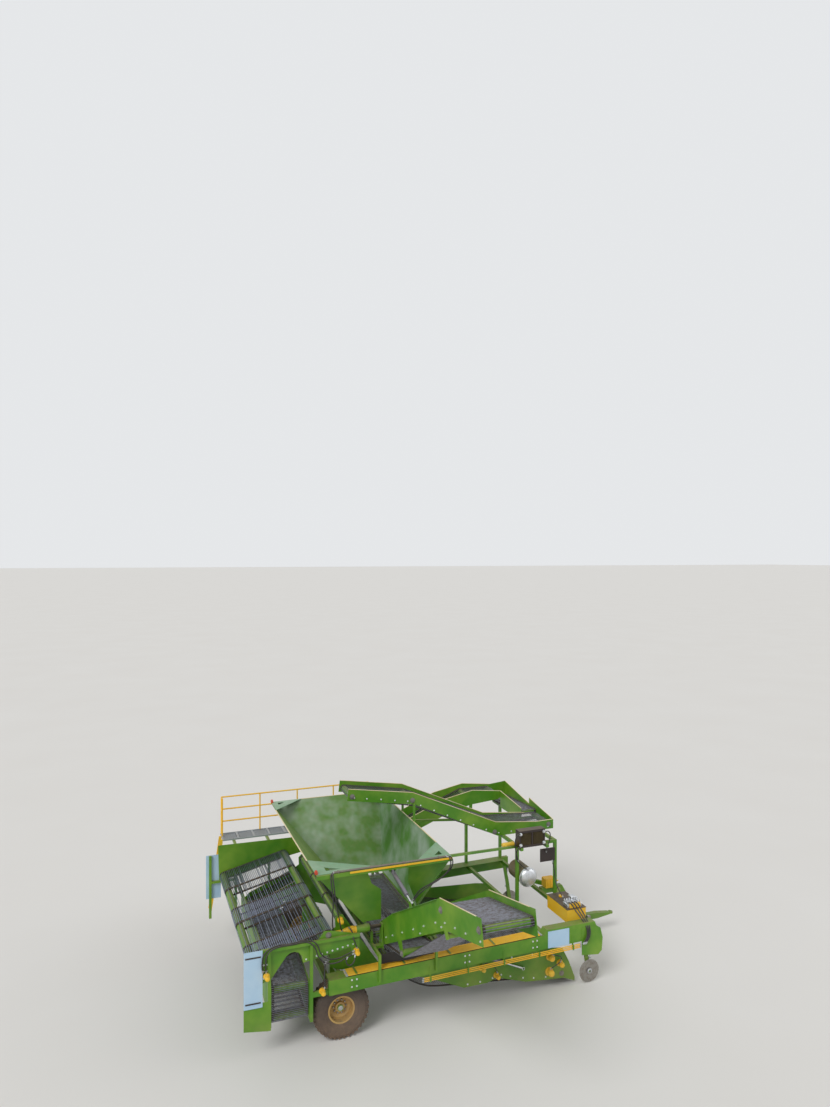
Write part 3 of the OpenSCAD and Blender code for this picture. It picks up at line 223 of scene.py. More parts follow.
# Oil cooler and filter housings: sheet steel in dark enamel. Soot and dust leave the cooler
# brown-black and the filter a dull olive.
dark_enamel = enamel("dark_enamel", "paint_dark", "#241a1c", "#382a2b", dusty=0.45)
dress(dark_enamel, "cooler")
olive_enamel = enamel("olive_enamel", "paint_dark", "#5d5236", "#6e6144", dusty=0.4)
dress(olive_enamel, "filter")

# Walkway: grating of mild steel, hot-dip galvanised. It weathers to a dull grey with a bluish
# tint.
zinc_coat = enamel("galvanised_steel", "deck_grate", "#8d959b", "#a9b0b5", roughness=0.45, dusty=0.3)
dress(zinc_coat, "walkway")

# Rear lamps: lenses moulded from orange-red acrylic. They are smooth, so a gloss stays on them
# under a little dust.
red_lens = enamel("orange_red_lens", "lamp_red", "#c8401f", "#d2543a", roughness=0.15, dusty=0.2)
dress(red_lens, "lamps")

# Bare steel: shares, coulter discs, jack and cylinders, polished by soil and use. The eye gets
# a blurred gloss with blotches of brown stain. Cylinder rods are chromed and nearly clean.


def bare_metal(name, slot, bright, stained, roughness, stain=0.5):
    """Bare metal with stain in blotches of about 8 cm."""
    finish = new_finish(name, slot)
    tree = finish.node_tree
    place = put(tree, "TexCoord").outputs["Object"]
    blotch = put(tree, "TexNoise", {"Scale": 12, "Detail": 5, "Roughness": 0.65}, {"Vector": place})
    spots = put(tree, "MapRange", {"From Min": 0.42, "From Max": 0.66, "To Max": stain},
                {"Value": blotch.outputs["Fac"]})
    colour = put(tree, "MixRGB", {"Color1": linear(bright), "Color2": linear(stained)},
                 {"Fac": spots.outputs[0]})
    shine = put(tree, "MapRange", {"To Min": 1, "To Max": 0.25}, {"Value": spots.outputs[0]})
    dull = put(tree, "MapRange", {"To Min": roughness, "To Max": 0.8}, {"Value": spots.outputs[0]})
    shader = put(tree, "BsdfPrincipled", {}, {
        "Base Color": colour.outputs["Color"], "Metallic": shine.outputs[0], "Roughness": dull.outputs[0]})
    put(tree, "OutputMaterial", {}, {"Surface": shader.outputs["BSDF"]})
    return finish


plain_steel = bare_metal("soil_polished_steel", "steel_plain", "#a3a09a", "#6b5743", 0.35)
dress(plain_steel, "shares", "disc_right", "disc_left", "jack")
barrel_steel = bare_metal("grey_cylinder_steel", "steel_plain", "#8f8b96", "#75706f", 0.4, stain=0.3)
dress(barrel_steel, "boom_barrels", "dig_barrels")
chrome_rod = bare_metal("chromed_rod", "steel_plain", "#d4d6d8", "#9b948a", 0.12, stain=0.15)
dress(chrome_rod, "boom_rods", "dig_rods")

# Tyres: wide flotation tyres of black rubber cured in a mould, with four grooves round the tread,
# blocks on the shoulders and raised rings on the sidewall. Dry soil hides most of the black.
tyre_rubber = enamel("tyre_rubber", "tyre_rubber", "#423b38", "#5a5049",
                     dust="#8c735c", roughness=0.75, dusty=1)


def turned(start, end, section, steps=24):
    """Round part: a closed section of [way along, radius] spun about the line from start to end."""
    deselect()
    bpy.ops.mesh.primitive_circle_add(vertices=len(section), fill_type="NOTHING", location=(0, 0, 0))
    shape = bpy.context.object
    for corner, (along, radius) in zip(shape.data.vertices, section):
        corner.co = (radius, 0, along)
    bpy.ops.object.mode_set(mode="EDIT")
    bpy.ops.mesh.select_all(action="SELECT")
    bpy.ops.mesh.spin(steps=steps, angle=2 * pi, center=(0, 0, 0), axis=(0, 0, 1))
    bpy.ops.mesh.select_all(action="SELECT")
    bpy.ops.mesh.remove_doubles(threshold=0.00005)
    bpy.ops.mesh.delete_loose()
    bpy.ops.mesh.select_all(action="SELECT")
    bpy.ops.mesh.normals_make_consistent(inside=False)
    bpy.ops.object.mode_set(mode="OBJECT")
    bpy.ops.object.shade_smooth_by_angle(angle=radians(32))
    aim = (end - start).to_track_quat("Z", "Y").to_matrix().to_4x4()
    shape.data.transform(Matrix.Translation(start) @ aim)
    return shape


def slab(low, high, edge=0.004):
    """Block between two opposite corners, with its edges eased."""
    deselect()
    bpy.ops.mesh.primitive_cube_add(size=1, location=(low + high) / 2, scale=high - low)
    shape = bpy.context.object
    bpy.ops.object.transform_apply(location=True, rotation=True, scale=True)
    bpy.ops.object.mode_set(mode="EDIT")
    bpy.ops.mesh.select_all(action="SELECT")
    bpy.ops.mesh.bevel(offset=edge, segments=1, affect="EDGES")
    bpy.ops.object.mode_set(mode="OBJECT")
    return shape


def copies(original, places):
    """Copies of a modelled shape, each with its own mesh, set in the given places."""
    made = []
    for place in places:
        twin = original.copy()
        twin.data = original.data.copy()
        twin.data.transform(place)
        bpy.context.collection.objects.link(twin)
        made.append(twin)
    bpy.data.objects.remove(original)
    return made


def fit(name, shapes, finish, body, *stands_for):
    """Joins shapes to one piece, gives it its finish and mounts it on a body."""
    deselect()
    for shape in shapes:
        shape.select_set(True)
    bpy.context.view_layer.objects.active = shapes[0]
    if len(shapes) > 1:
        bpy.ops.object.join()
    piece = bpy.context.object
    bpy.ops.object.transform_apply(location=True, rotation=True, scale=True)
    piece.name = name
    piece.data.name = name
    piece.data.materials.clear()
    piece.data.materials.append(finish)
    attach(piece, body)
    if stands_for:
        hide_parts(*stands_for)
    return piece


wheel_radius, wheel_out = 0.685, 2.225
# Half of the section, from bead to tread, as [distance from the wheel's middle, radius]
half_section = [
    (0.1797, 0.3035), (0.1797, 0.327), (0.192, 0.334), (0.207, 0.395), (0.214, 0.4), (0.215, 0.41),
    (0.21, 0.416), (0.219, 0.47), (0.222, 0.5), (0.219, 0.556), (0.2245, 0.562), (0.2225, 0.578),
    (0.215, 0.584), (0.205, 0.622), (0.185, 0.66), (0.15, 0.674), (0.13, 0.681), (0.122, 0.664),
    (0.108, 0.664), (0.1, 0.683), (0.056, 0.685), (0.05, 0.666), (0.034, 0.666), (0.028, 0.685)]
tyre_section = half_section + [(-y, r) for y, r in reversed(half_section)]
for side, wheel in ((-1, "wheel_right"), (1, "wheel_left")):
    hub = at(0, side * wheel_out, wheel_radius)
    carcass = turned(hub, hub + Vector((0, 1, 0)), tyre_section, steps=72)
    block = slab(Vector((-0.021, -0.05, -0.03)), Vector((0.021, 0.045, 0.01)), edge=0.005)
    blocks = copies(block, [
        Matrix.Translation(hub) @ Matrix.Rotation(radians(a), 4, "Y")
        @ Matrix.Translation((0, s * 0.172, 0.67)) @ Matrix.Rotation(radians(-17 * s), 4, "X")
        for s in (-1, 1) for a in range(0 if s > 0 else 5, 360, 10)])
    fit("tyre_on_" + wheel, [carcass] + blocks, tyre_rubber, wheel, "tyre_" + wheel.split("_")[1])

# Wheel nuts and hub cap: ten zinc-plated nuts on the cream wheel disc and a pressed steel cap
# over the bearing. The spanner keeps their corners bright.
zinc_plate = bare_metal("zinc_plated_steel", "steel_plain", "#c3c6ca", "#857a6c", 0.32, stain=0.4)
nut_section = [(0, 0), (0, 0.026), (0.006, 0.026), (0.006, 0.02), (0.026, 0.02), (0.031, 0.015),
               (0.031, 0.009), (0.044, 0.009), (0.046, 0.007), (0.046, 0)]
nut_ring, nuts_round = 0.155, 10
for side, wheel in ((-1, "wheel_right"), (1, "wheel_left")):
    out = Vector((0, side, 0))
    ring = [at(nut_ring * cos(a), side * (wheel_out - 0.012), wheel_radius + nut_ring * sin(a))
            for a in (2 * pi * k / nuts_round for k in range(nuts_round))]
    nuts = [turned(spot, spot + out, nut_section, steps=6) for spot in ring]
    face = at(0, side * (wheel_out + 0.06), wheel_radius)
    cap = turned(face, face + out,
                 [(0, 0), (0, 0.068), (0.028, 0.066), (0.045, 0.056), (0.05, 0.03), (0.05, 0)])
    fit("wheel_nuts_on_" + wheel, nuts + [cap], zinc_plate, wheel)

# Conveyor webs: endless webs of sprung steel rods riveted to rubber belts with a fabric core.
# The soil grinds the rods to a bluish shine and leaves brown in every corner.
web_steel = bare_metal("web_rod_steel", "web_steel", "#8d8f98", "#5c4a3a", 0.38, stain=0.7)
belt_rubber = enamel("belt_rubber", "web_steel", "#232221", "#2f2c29",
                     dust="#66533f", roughness=0.7, dusty=0.6)
rod_out, belt_thick = 0.005, 0.014


def run_angle(p, q):
    """Direction of the straight run from roller p to roller q."""
    ahead = Vector((q[0] - p[0], q[1] - p[1]))
    return atan2(ahead.y, ahead.x) - asin((q[2] - p[2]) / ahead.length)


def web_path(rollers, offset, step=radians(12)):
    """Closed line round rollers, each [x, z, radius]. One with a radius below 0 presses from outside."""
    path = []
    for i, (x, z, radius) in enumerate(rollers):
        first = run_angle(rollers[i - 1], rollers[i])
        turn = run_angle(rollers[i], rollers[(i + 1) % len(rollers)]) - first
        if radius > 0:
            turn -= 2 * pi * floor((turn + 0.0002) / (2 * pi))
        else:
            turn -= 2 * pi * ceil((turn - 0.0002) / (2 * pi))
        parts = max(1, ceil(abs(turn) / step))
        for k in range(parts + 1):
            a = first + turn * k / parts
            path.append((x + (radius + offset) * sin(a), z - (radius + offset) * cos(a)))
    return path


def evenly(path, pitch):
    """Places at an even distance along a closed line, with X along the line."""
    runs = [(Vector(p), Vector(q)) for p, q in zip(path, path[1:] + path[:1])]
    total = sum((q - p).length for p, q in runs)
    count = round(total / pitch)
    found, done = [], 0
    for p, q in runs:
        length = (q - p).length
        while len(found) < count and len(found) * total / count < done + length:
            spot = p.lerp(q, (len(found) * total / count - done) / length)
            lean = Matrix.Rotation(-atan2(q.y - p.y, q.x - p.x), 4, "Y")
            found.append(Matrix.Translation((spot.x, 0, spot.y)) @ lean)
        done += length
    return found


def rod(low, high, thick):
    """One web rod across the web, with eased ends."""
    ease = thick * 0.2
    return turned(Vector((0, low, 0)), Vector((0, high, 0)), [
        (0, 0), (0, thick * 0.32), (ease, thick / 2), (high - low - ease, thick / 2),
        (high - low, thick * 0.32), (high - low, 0)], steps=6)


def ribbon(path, low, high, thickness):
    """Endless belt: a ring of points drawn out sideways and given its thickness."""
    deselect()
    bpy.ops.mesh.primitive_circle_add(vertices=len(path), fill_type="NOTHING", location=(0, 0, 0))
    belt = bpy.context.object
    for corner, (x, z) in zip(belt.data.vertices, path):
        corner.co = (x, low, z)
    bpy.ops.object.mode_set(mode="EDIT")
    bpy.ops.mesh.select_all(action="SELECT")
    bpy.ops.mesh.extrude_region_move(TRANSFORM_OT_translate={"value": (0, high - low, 0)})
    bpy.ops.object.mode_set(mode="OBJECT")
    skin = belt.modifiers.new("thickness", "SOLIDIFY")
    skin.thickness = thickness
    skin.offset = 0
    bpy.ops.object.modifier_apply(modifier="thickness")
    bpy.ops.object.mode_set(mode="EDIT")
    bpy.ops.mesh.select_all(action="SELECT")
    bpy.ops.mesh.normals_make_consistent(inside=False)
    bpy.ops.object.mode_set(mode="OBJECT")
    return belt


def web(name, rollers, pitch, low, high, belts, place, body, node=None, thick=0.016):
    """Rods from low to high and belts at the given places, all round the rollers."""
    spots = [place @ spot for spot in evenly(web_path(rollers, rod_out), pitch)]
    rods = copies(rod(low, high, thick), spots)
    fit(name + "_rods", rods, web_steel, body, *([node] if node else []))
    bands = [ribbon(web_path(rollers, 0), y - 0.03, y + 0.03, belt_thick) for y in belts]
    for band in bands:
        band.data.transform(place)
    fit(name + "_belts", bands, belt_rubber, body)


lengthways = Matrix.Translation(at(0, 0, 0))
# A web that runs across the machine is drawn with X for the machine's Y and turned a quarter
quarter = Matrix.Rotation(radians(90), 4, "Z")
crossways = lengthways @ quarter
# The elevator's hinge, from the middle and above the ground, and its tilt at rest
hinge_y, hinge_z, tilt = -2.15, 2.4, radians(-28)
elevator_frame = Matrix.Translation(at(0, hinge_y, hinge_z)) @ Matrix.Rotation(tilt, 4, "X")
elevator_place = elevator_frame @ quarter
rod_pitch = 0.055

digging_rollers = [[6.08, 0.33, 0.07], [1.3, 1.4, 0.1], [2.7, 2.07, 1.45]]
web("digging_web", digging_rollers, rod_pitch, -2.165, 2.165, [-2.13, -0.72, 0.72, 2.13],
    lengthways, "digger", "digger_web")
riser_rollers = [[1, 1.24, 0.1], [0.06, 2.66, 0.09]]
web("riser_web", riser_rollers, 0.09, -2.035, 2.035, [-2, -0.67, 0.67, 2], lengthways, "frame")
lift_rollers = [[6.35, 3.76, 0.09], [5.4, 3.79, 0.08], [-1.35, 1.25, 0.09], [5, 3.49, -0.06]]
web("lift_web", lift_rollers, rod_pitch, 2.21, 2.99, [2.245, 2.955], lengthways, "frame", "lift_web")
fill_rollers = [[6.9, 3.52, 0.08], [5.18, 3.77, -0.06], [2.64, 4.68, 0.085], [0.92, 4.96, 0.085],
                [2.6, 4.47, -0.06], [5.15, 3.5, 0.06]]
web("fill_web", fill_rollers, rod_pitch, -0.078, 0.778, [-0.043, 0.743], lengthways, "frame", "fill_web")
trough_rollers = [[0.95, 3.59, 0.06], [2.9, 3.47, 0.06]]
web("trough_web", trough_rollers, rod_pitch, -7.04, -6.5, [-7.005, -6.535],
    crossways, "frame", "trough_web")
cross_rollers = [[-2.34, 0.8, 0.09], [2.08, 1.54, 0.09], [-1.3, 1.6, 0.08], [-2.34, 1.44, 0.09]]
web("cross_web", cross_rollers, 0.042, 0.802, 1.663, [0.84, 1.625],
    crossways, "frame", "cross_web", 0.02)
floor_rollers = [[-1.88, 2.08, 0.07], [1.4, 2.08, 0.07]]
web("hopper_floor_web", floor_rollers, 0.06, -2.28, -0.92, [-2.24, -1.6, -0.96],
    crossways, "frame", "hopper_floor")
elevator_rollers = [[0.14, -0.33, 0.08], [-4.22, -0.05, 0.085], [-5.976, -0.547, 0.085],
                    [-4.29, -0.535, -0.07], [-1.25, -0.69, 0.09]]
web("elevator_web", elevator_rollers, rod_pitch, -2.178, -1.122, [-2.14, -1.16],
    elevator_place, "elevator", "boom_web")

# Deck web: a wide open web at the rear. Its rods stand far apart, and three strips of close
# rods between rubber belts bridge the gaps.
haulm_steel = bare_metal("haulm_rod_steel", "web_steel", "#98a1b8", "#6a5d58", 0.33, stain=0.5)
haulm_rollers = [[-2.08, 2.11, 0.1], [-0.33, 2.53, 0.1]]
wide_pitch, strip_pitch = 0.15, 0.047
wide_places = [lengthways @ spot for spot in evenly(web_path(haulm_rollers, rod_out), wide_pitch)]
wide_rods = copies(rod(-2.43, 2.98, 0.016), wide_places)
strip_line = web_path(haulm_rollers, rod_out + 0.004)
strip_places = [lengthways @ spot for spot in evenly(strip_line, strip_pitch)]
strip_rods = []
for low, high in ((1.8, 2.95), (-0.35, 0.4), (-2.4, -1.7)):
    strip_rods += copies(rod(low, high, 0.02), strip_places)
fit("haulm_web_rods", wide_rods + strip_rods, haulm_steel, "frame", "deck_web")
# Belts as [middle, half width]
haulm_belts = [(1.73, 0.045), (0.44, 0.03), (-0.39, 0.045), (-1.66, 0.03), (-2.4, 0.03), (2.95, 0.03)]
haulm_line = web_path(haulm_rollers, 0.002)
haulm_bands = [ribbon(haulm_line, y - w, y + w, belt_thick) for y, w in haulm_belts]
for band in haulm_bands:
    band.data.transform(lengthways)
fit("haulm_web_belts", haulm_bands, belt_rubber, "frame")

# Bolts of the side plates: zinc-plated hex heads on washers that hold the roller bearings and
# skid strips. They are the brightest points on the green plates.
bright_zinc = bare_metal("bright_zinc_bolt", "steel_plain", "#eceef0", "#a89f92", 0.3, stain=0.25)
bolt_section = [(0, 0), (0, 0.024), (0.005, 0.024), (0.005, 0.018), (0.019, 0.018), (0.023, 0.013),
                (0.023, 0)]
rightwards, leftwards = Vector((0, -1, 0)), Vector((0, 1, 0))
backwards, forwards = Vector((-1, 0, 0)), Vector((1, 0, 0))
# Outer faces of the plates, from the axle for the elevator and from the middle for the others
elevator_rear, elevator_front = 1.1, 2.2
fill_face, panel_face, digger_face, beam_face = -0.1, -2.46, 2.2, 2.6
beam_slope = 0.0179


def bolts(name, spots, out, body):
    """Bolt heads at the given spots, pointing the way of out."""
    head = turned(Vector((0, 0, 0)), out, bolt_section, steps=6)
    fit(name, copies(head, [Matrix.Translation(spot) for spot in spots]), bright_zinc, body)


# Places on the elevator's side plates as [y, z]
elevator_bolts = [
    (-2.44, 2.23), (-2.92, 2.49), (-3.59, 2.86), (-4.31, 3.25), (-4.74, 3.35), (-4.95, 3.6),
    (-5.61, 3.96), (-5.93, 4.01), (-6.11, 4.17), (-6.61, 4.29), (-7.11, 4.41), (-7.75, 4.55)]
bolts("elevator_bolts_rear", [at(elevator_rear, y, z) for y, z in elevator_bolts], backwards, "elevator")
bolts("elevator_bolts_front", [at(elevator_front, y, z) for y, z in elevator_bolts], forwards, "elevator")
fill_bolts = [(0.98, 4.92), (1.33, 4.86), (1.73, 4.8), (2.13, 4.73), (2.5, 4.67)]
fill_bolts += [(2.88 + 0.4 * k, 4.51 - 0.181 * k) for k in range(6)]
fill_bolts += [(5.28 + 0.4 * k, 3.46) for k in range(5)]
bolts("fill_conveyor_bolts", [at(x, fill_face, z) for x, z in fill_bolts], rightwards, "frame")
panel_bolts = [at(x, panel_face, 2.05 + 0.148 * (x + 0.93))
               for x in (-0.86 + 0.125 * k for k in range(10))]
panel_bolts += [at(x, panel_face, z) for x in (-1.84, -1.76) for z in (1.8, 1.95, 2.1)]
bolts("deck_panel_bolts", panel_bolts, rightwards, "frame")
digger_bolts = [(3.35, 0.55), (3.7, 0.55), (4.05, 0.58), (4.3, 0.62), (4.56, 0.53), (4.93, 0.42),
                (5.24, 0.36), (5.6, 0.32), (3.4, 1.08), (4.6, 1.01), (5.2, 0.98), (5.8, 0.92)]
for side, word in ((-1, "right"), (1, "left")):
    out = Vector((0, side, 0))
    bolts("digger_bolts_" + word, [at(x, side * digger_face, z) for x, z in digger_bolts], out, "digger")
    beam_bolts = [at(x + d, side * beam_face, 1.36 + beam_slope * (x + 0.35) + e)
                  for x in (0.2, 3.1, 5.0) for d in (0, 0.12) for e in (-0.08, 0.08)]
    bolts("beam_bolts_" + word, beam_bolts, out, "frame")

# Lit edges: thin strips of pale cream on the top edges of the conveyors and the bunker, a
# painted highlight where the light catches the rims.
lit_edge_highlight = enamel("painted_edge_highlight", "paint_cream", "#efe3bd", "#d8c08c", roughness=0.45, dusty=0.2)


def bar(start, end, width, height):
    """Straight bar between the middles of its ends, with its width level."""
    half = Vector(((end - start).length / 2, width / 2, height / 2))
    shape = slab(-half, half, edge=min(width, height) * 0.2)
    aim = (end - start).to_track_quat("X", "Z").to_matrix().to_4x4()
    shape.data.transform(Matrix.Translation((start + end) / 2) @ aim)
    return shape


def edging(corners, width=0.022, height=0.012):
    """Bars from corner to corner."""
    return [bar(p, q, width, height) for p, q in zip(corners, corners[1:])]


fill_edge = [(6.49, 3.642), (5.19, 3.782), (2.65, 4.892), (0.82, 5.172)]
fill_bars = edging([at(x, -0.094, z) for x, z in [(7.05, 3.652)] + fill_edge])
fill_bars += edging([at(x, 0.794, z) for x, z in [(7.05, 3.502)] + fill_edge])
fit("fill_conveyor_edges", fill_bars, lit_edge_highlight, "frame")
fit("trough_edges", edging([at(7.056, -0.1, 3.652), at(7.056, 1.35, 3.862)])
    + edging([at(7.056, 1.35, 3.682), at(7.056, 3.0, 3.952)])
    + edging([at(6.484, 0.8, 3.762), at(6.484, 2.188, 3.902)]), lit_edge_highlight, "frame")
fit("hopper_edges", edging([at(-0.708, -1.86, 4.102), at(-0.708, 2.16, 4.102)], 0.03)
    + edging([at(0.2, 2.958, 4.102), at(1.75, 2.958, 4.102)], 0.03)
    + edging([at(2.658, -1.8, 4.102), at(2.658, 2.15, 4.102)], 0.03), lit_edge_highlight, "frame")
tilt_edges = []
for x in (1.106, 2.194):
    tilt_edges += edging([Vector((x, -4.25, 0.172)), Vector((x, -5.94, -0.31))])
for shape in tilt_edges:
    shape.data.transform(elevator_frame)
fit("elevator_edges", tilt_edges, lit_edge_highlight, "elevator")
# Elevator lips: thin strips of the pale enamel on the plates' top edges, a painted highlight where the light
# catches them.
lips = [slab(Vector((x, -4.05, 0.164)), Vector((x + 0.04, -0.95, 0.168)), 0.001) for x in (1.06, 2.2)]
for shape in lips:
    shape.data.transform(elevator_frame)
fit("elevator_lips", lips, weathered_and_highlight_green, "elevator")

# Rail on the near rim: a strip of yellow flat bar along the bunker's right rim, with the
# elevator's steel pipes clipped above it.
rim_strip = slab(at(0.08, -2.876, 4.06), at(2.65, -2.864, 4.104), 0.002)
fit("rim_strip", [rim_strip], yellow_enamel, "frame")
pipe_grey = enamel("phosphated_steel_pipe", "steel_plain", "#6f6a66", "#857d74", roughness=0.42, dusty=0.4)


def pipe(start, end, diameter):
    """Steel pipe with chamfered ends."""
    length, radius = (end - start).length, diameter / 2
    ease = radius * 0.3
    return turned(start, end, [(0, 0), (0, radius * 0.8), (ease, radius), (length - ease, radius),
                               (length, radius * 0.8), (length, 0)], steps=12)


rim_pipes = [pipe(at(-0.3, y, z), at(2.5, y, z), 0.026) for y, z in ((-2.835, 4.125), (-2.795, 4.125))]
rim_clips = [slab(at(x, -2.86, 4.1), at(x + 0.03, -2.77, 4.148), 0.003) for x in (-0.2, 0.6, 1.4, 2.3)]
fit("rim_pipes", rim_pipes + rim_clips, pipe_grey, "frame")

# Hydraulic hoses: black synthetic rubber with a wire braid, cover worn dull, with crimped
# zinc-plated ends.
hose_rubber = enamel("hose_rubber", "tyre_rubber", "#2b2a2c", "#3a3838",
                     dust="#7d7264", roughness=0.5, dusty=0.55)


def hose(points, diameter):
    """Hose along points: a smooth curve with a round section, made a mesh."""
    deselect()
    line = bpy.data.curves.new("hose", "CURVE")
    line.dimensions = "3D"
    line.bevel_depth = diameter / 2
    line.bevel_resolution = 2
    line.resolution_u = 5
    line.use_fill_caps = True
    strand = line.splines.new("BEZIER")
    strand.bezier_points.add(len(points) - 1)
    for knot, point in zip(strand.bezier_points, points):
        knot.co = point
        knot.handle_left_type = knot.handle_right_type = "AUTO"
    tube = bpy.data.objects.new("hose", line)
    bpy.context.collection.objects.link(tube)
    tube.select_set(True)
    bpy.context.view_layer.objects.active = tube
    bpy.ops.object.convert(target="MESH")
    bpy.ops.object.shade_smooth()
    return bpy.context.object


def hoses(name, runs, diameter, body):
    """Several hoses as one piece, and their crimped ends as another."""
    fit(name, [hose([at(*point) for point in run], diameter) for run in runs], hose_rubber, body)
    wide, narrow = diameter * 0.75, diameter * 0.62
    crimp = [(0, 0), (0, wide), (0.012, wide), (0.012, narrow), (0.06, narrow),
             (0.063, diameter * 0.5), (0.063, 0)]
    ends = []
    for run in runs:
        for first, second in ((run[0], run[1]), (run[-1], run[-2])):
            ends.append(turned(at(*first), at(*second), crimp, steps=10))
    fit(name + "_ends", ends, zinc_plate, body)


hoses("rim_hoses", [
    [(-0.3, -2.835, 4.125), (-0.37, -2.87, 4.1), (-0.38, -2.92, 3.95), (-0.33, -2.9, 3.55),
     (-0.3, -2.72, 3.05), (-0.2, -2.4, 2.62), (-0.12, -2.24, 2.47)],
    [(-0.3, -2.795, 4.125), (-0.33, -2.86, 4.12), (-0.33, -2.95, 3.9), (-0.25, -2.88, 3.4),
     (-0.1, -2.6, 2.9), (0.0, -2.35, 2.6), (0.06, -2.24, 2.46)],
    [(2.5, -2.835, 4.125), (2.6, -2.87, 4.12), (2.63, -2.93, 3.98), (2.5, -2.88, 3.75),
     (2.2, -2.72, 3.5), (1.9, -2.6, 3.3), (1.72, -2.55, 3.05)],
    [(2.5, -2.795, 4.125), (2.55, -2.85, 4.13), (2.57, -2.94, 3.95), (2.4, -2.9, 3.7),
     (2.1, -2.76, 3.45), (1.82, -2.65, 3.2), (1.62, -2.62, 2.92)]], 0.03, "frame")
hoses("deck_hoses", [
    [(-1.88, -2.56, 1.98), (-1.9, -2.6, 2.2), (-1.84, -2.56, 2.4), (-1.57, -2.5, 2.5),
     (-1.25, -2.5, 2.5), (-0.8, -2.5, 2.5), (-0.64, -2.54, 2.42), (-0.52, -2.56, 2.16),
     (-0.36, -2.56, 2.03), (-0.12, -2.56, 2.0), (0.08, -2.56, 2.05), (0.28, -2.54, 2.1)],
    [(-1.8, -2.56, 1.96), (-1.82, -2.62, 2.16), (-1.76, -2.58, 2.4), (-1.5, -2.53, 2.49),
     (-1.2, -2.53, 2.49), (-0.86, -2.53, 2.49), (-0.7, -2.57, 2.38), (-0.58, -2.59, 2.1),
     (-0.4, -2.59, 1.95), (-0.16, -2.59, 1.92), (0.06, -2.57, 1.98), (0.28, -2.54, 2.04)],
    [(0.24, -2.2, 2.5), (0.26, -2.4, 2.48), (0.25, -2.54, 2.4), (0.3, -2.57, 2.26), (0.34, -2.54, 2.14)],
    [(-0.42, -2.58, 2.0), (-0.45, -2.6, 1.85), (-0.46, -2.6, 1.6), (-0.45, -2.6, 1.42), (-0.47, -2.6, 1.36)],
    [(0.3, -2.54, 2.0), (0.24, -2.6, 1.86), (0.12, -2.62, 1.82), (0.06, -2.6, 1.92), (0.1, -2.57, 2.0)]],
      0.03, "frame")
hoses("tank_hoses", [
    [(6.34 + 0.09 * k, -2.06, 2.1), (6.38 + 0.09 * k, -2.17, 2.12), (6.45 + 0.09 * k, -2.27, 1.98),
     (6.52 + 0.07 * k, -2.45, 1.83), (6.58 + 0.05 * k, -2.6, 1.66), (6.58 + 0.04 * k, -2.66, 1.45),
     (6.46 + 0.04 * k, -2.66, 1.24)] for k in range(3)], 0.032, "frame")
hoses("cooler_hoses", [
    [(5.4, -1.22, 3.76), (5.28, -1.26, 3.78), (5.22, -1.22, 3.6), (5.3, -1.1, 3.3), (5.42, -1.02, 2.95)],
    [(6.12, -1.22, 3.76), (6.24, -1.26, 3.76), (6.3, -1.22, 3.55), (6.26, -1.12, 3.25), (6.3, -1.02, 3.1)],
    [(5.4, -1.22, 3.46), (5.3, -1.24, 3.4), (5.3, -1.14, 3.1), (5.5, -1.04, 2.85), (5.7, -1.1, 2.7)],
    [(6.5, -1.0, 2.84), (6.52, -1.08, 2.6), (6.5, -1.2, 2.3), (6.5, -1.4, 2.12), (6.5, -1.6, 2.02)]],
      0.028, "frame")

# Web drives: hydraulic motors with a round flange and a port block, bolted to the side
# plates and sprayed with yellow enamel.


def motor(face, out, radius=0.05):
    """Motor on a plate: flange, body, end cap and a port block on top."""
    body = turned(face, face + out, [
        (0, 0), (0, radius * 1.5), (0.018, radius * 1.5), (0.024, radius), (0.1, radius),
        (0.1, radius * 1.14), (0.145, radius * 1.14), (0.15, radius), (0.178, radius * 0.9),
        (0.19, radius * 0.5), (0.19, 0)])
    middle = face + out * 0.07
    block = slab(middle + Vector((-0.035, -0.035, 0.02)), middle + Vector((0.035, 0.035, 0.085)), 0.006)
    return [body, block]


digger_drives = []
for x, z in ((3.74, 0.9), (4.15, 0.64)):
    digger_drives += motor(at(x, -digger_face, z), rightwards)
fit("digger_web_motors", digger_drives, yellow_enamel, "digger", "digger_motors")
drive_section = [
    (0, 0), (0, 0.05), (0.02, 0.058), (0.05, 0.058), (0.07, 0.05), (0.28, 0.05), (0.36, 0.085),
    (0.38, 0.088), (0.46, 0.088), (0.47, 0.1), (0.53, 0.1), (0.54, 0.088), (0.6, 0.088), (0.6, 0)]
elevator_drive = turned(at(-0.17, hinge_y, hinge_z), at(1, hinge_y, hinge_z), drive_section, steps=32)
flat_drive = turned(at(-2.08, panel_face, 2.11), at(-2.08, -3, 2.11), [
    (0, 0), (0, 0.075), (0.045, 0.075), (0.05, 0.06), (0.065, 0.05), (0.065, 0)])
web_drives = [elevator_drive, flat_drive]
for x, y, z in ((0.06, -2.062, 2.66), (-1.79, -2.53, 1.88), (0.34, -2.475, 2.06), (-0.5, -2.53, 1.3)):
    web_drives += motor(at(x, y, z), rightwards)
fit("web_motors", web_drives, yellow_enamel, "frame", "motors")
housing_section = [(0, 0), (0, 0.084), (0.01, 0.09), (0.32, 0.09), (0.33, 0.084), (0.33, 0)]
fit("elevator_drive_housing", [
    turned(at(0.43, hinge_y, hinge_z), at(1, hinge_y, hinge_z), housing_section),
    slab(at(0.22, -2.475, 1.97), at(0.42, panel_face, 2.34), 0.003)], green_enamel, "frame")
shaft_section = [(0, 0), (0, 0.1), (0.025, 0.1), (0.025, 0.045), (0.28, 0.045), (0.298, 0.04), (0.298, 0)]
drive_shaft = turned(at(0.76, hinge_y, hinge_z), at(1.5, hinge_y, hinge_z), shaft_section)
fit("elevator_drive_shaft", [drive_shaft], dark_enamel, "frame")

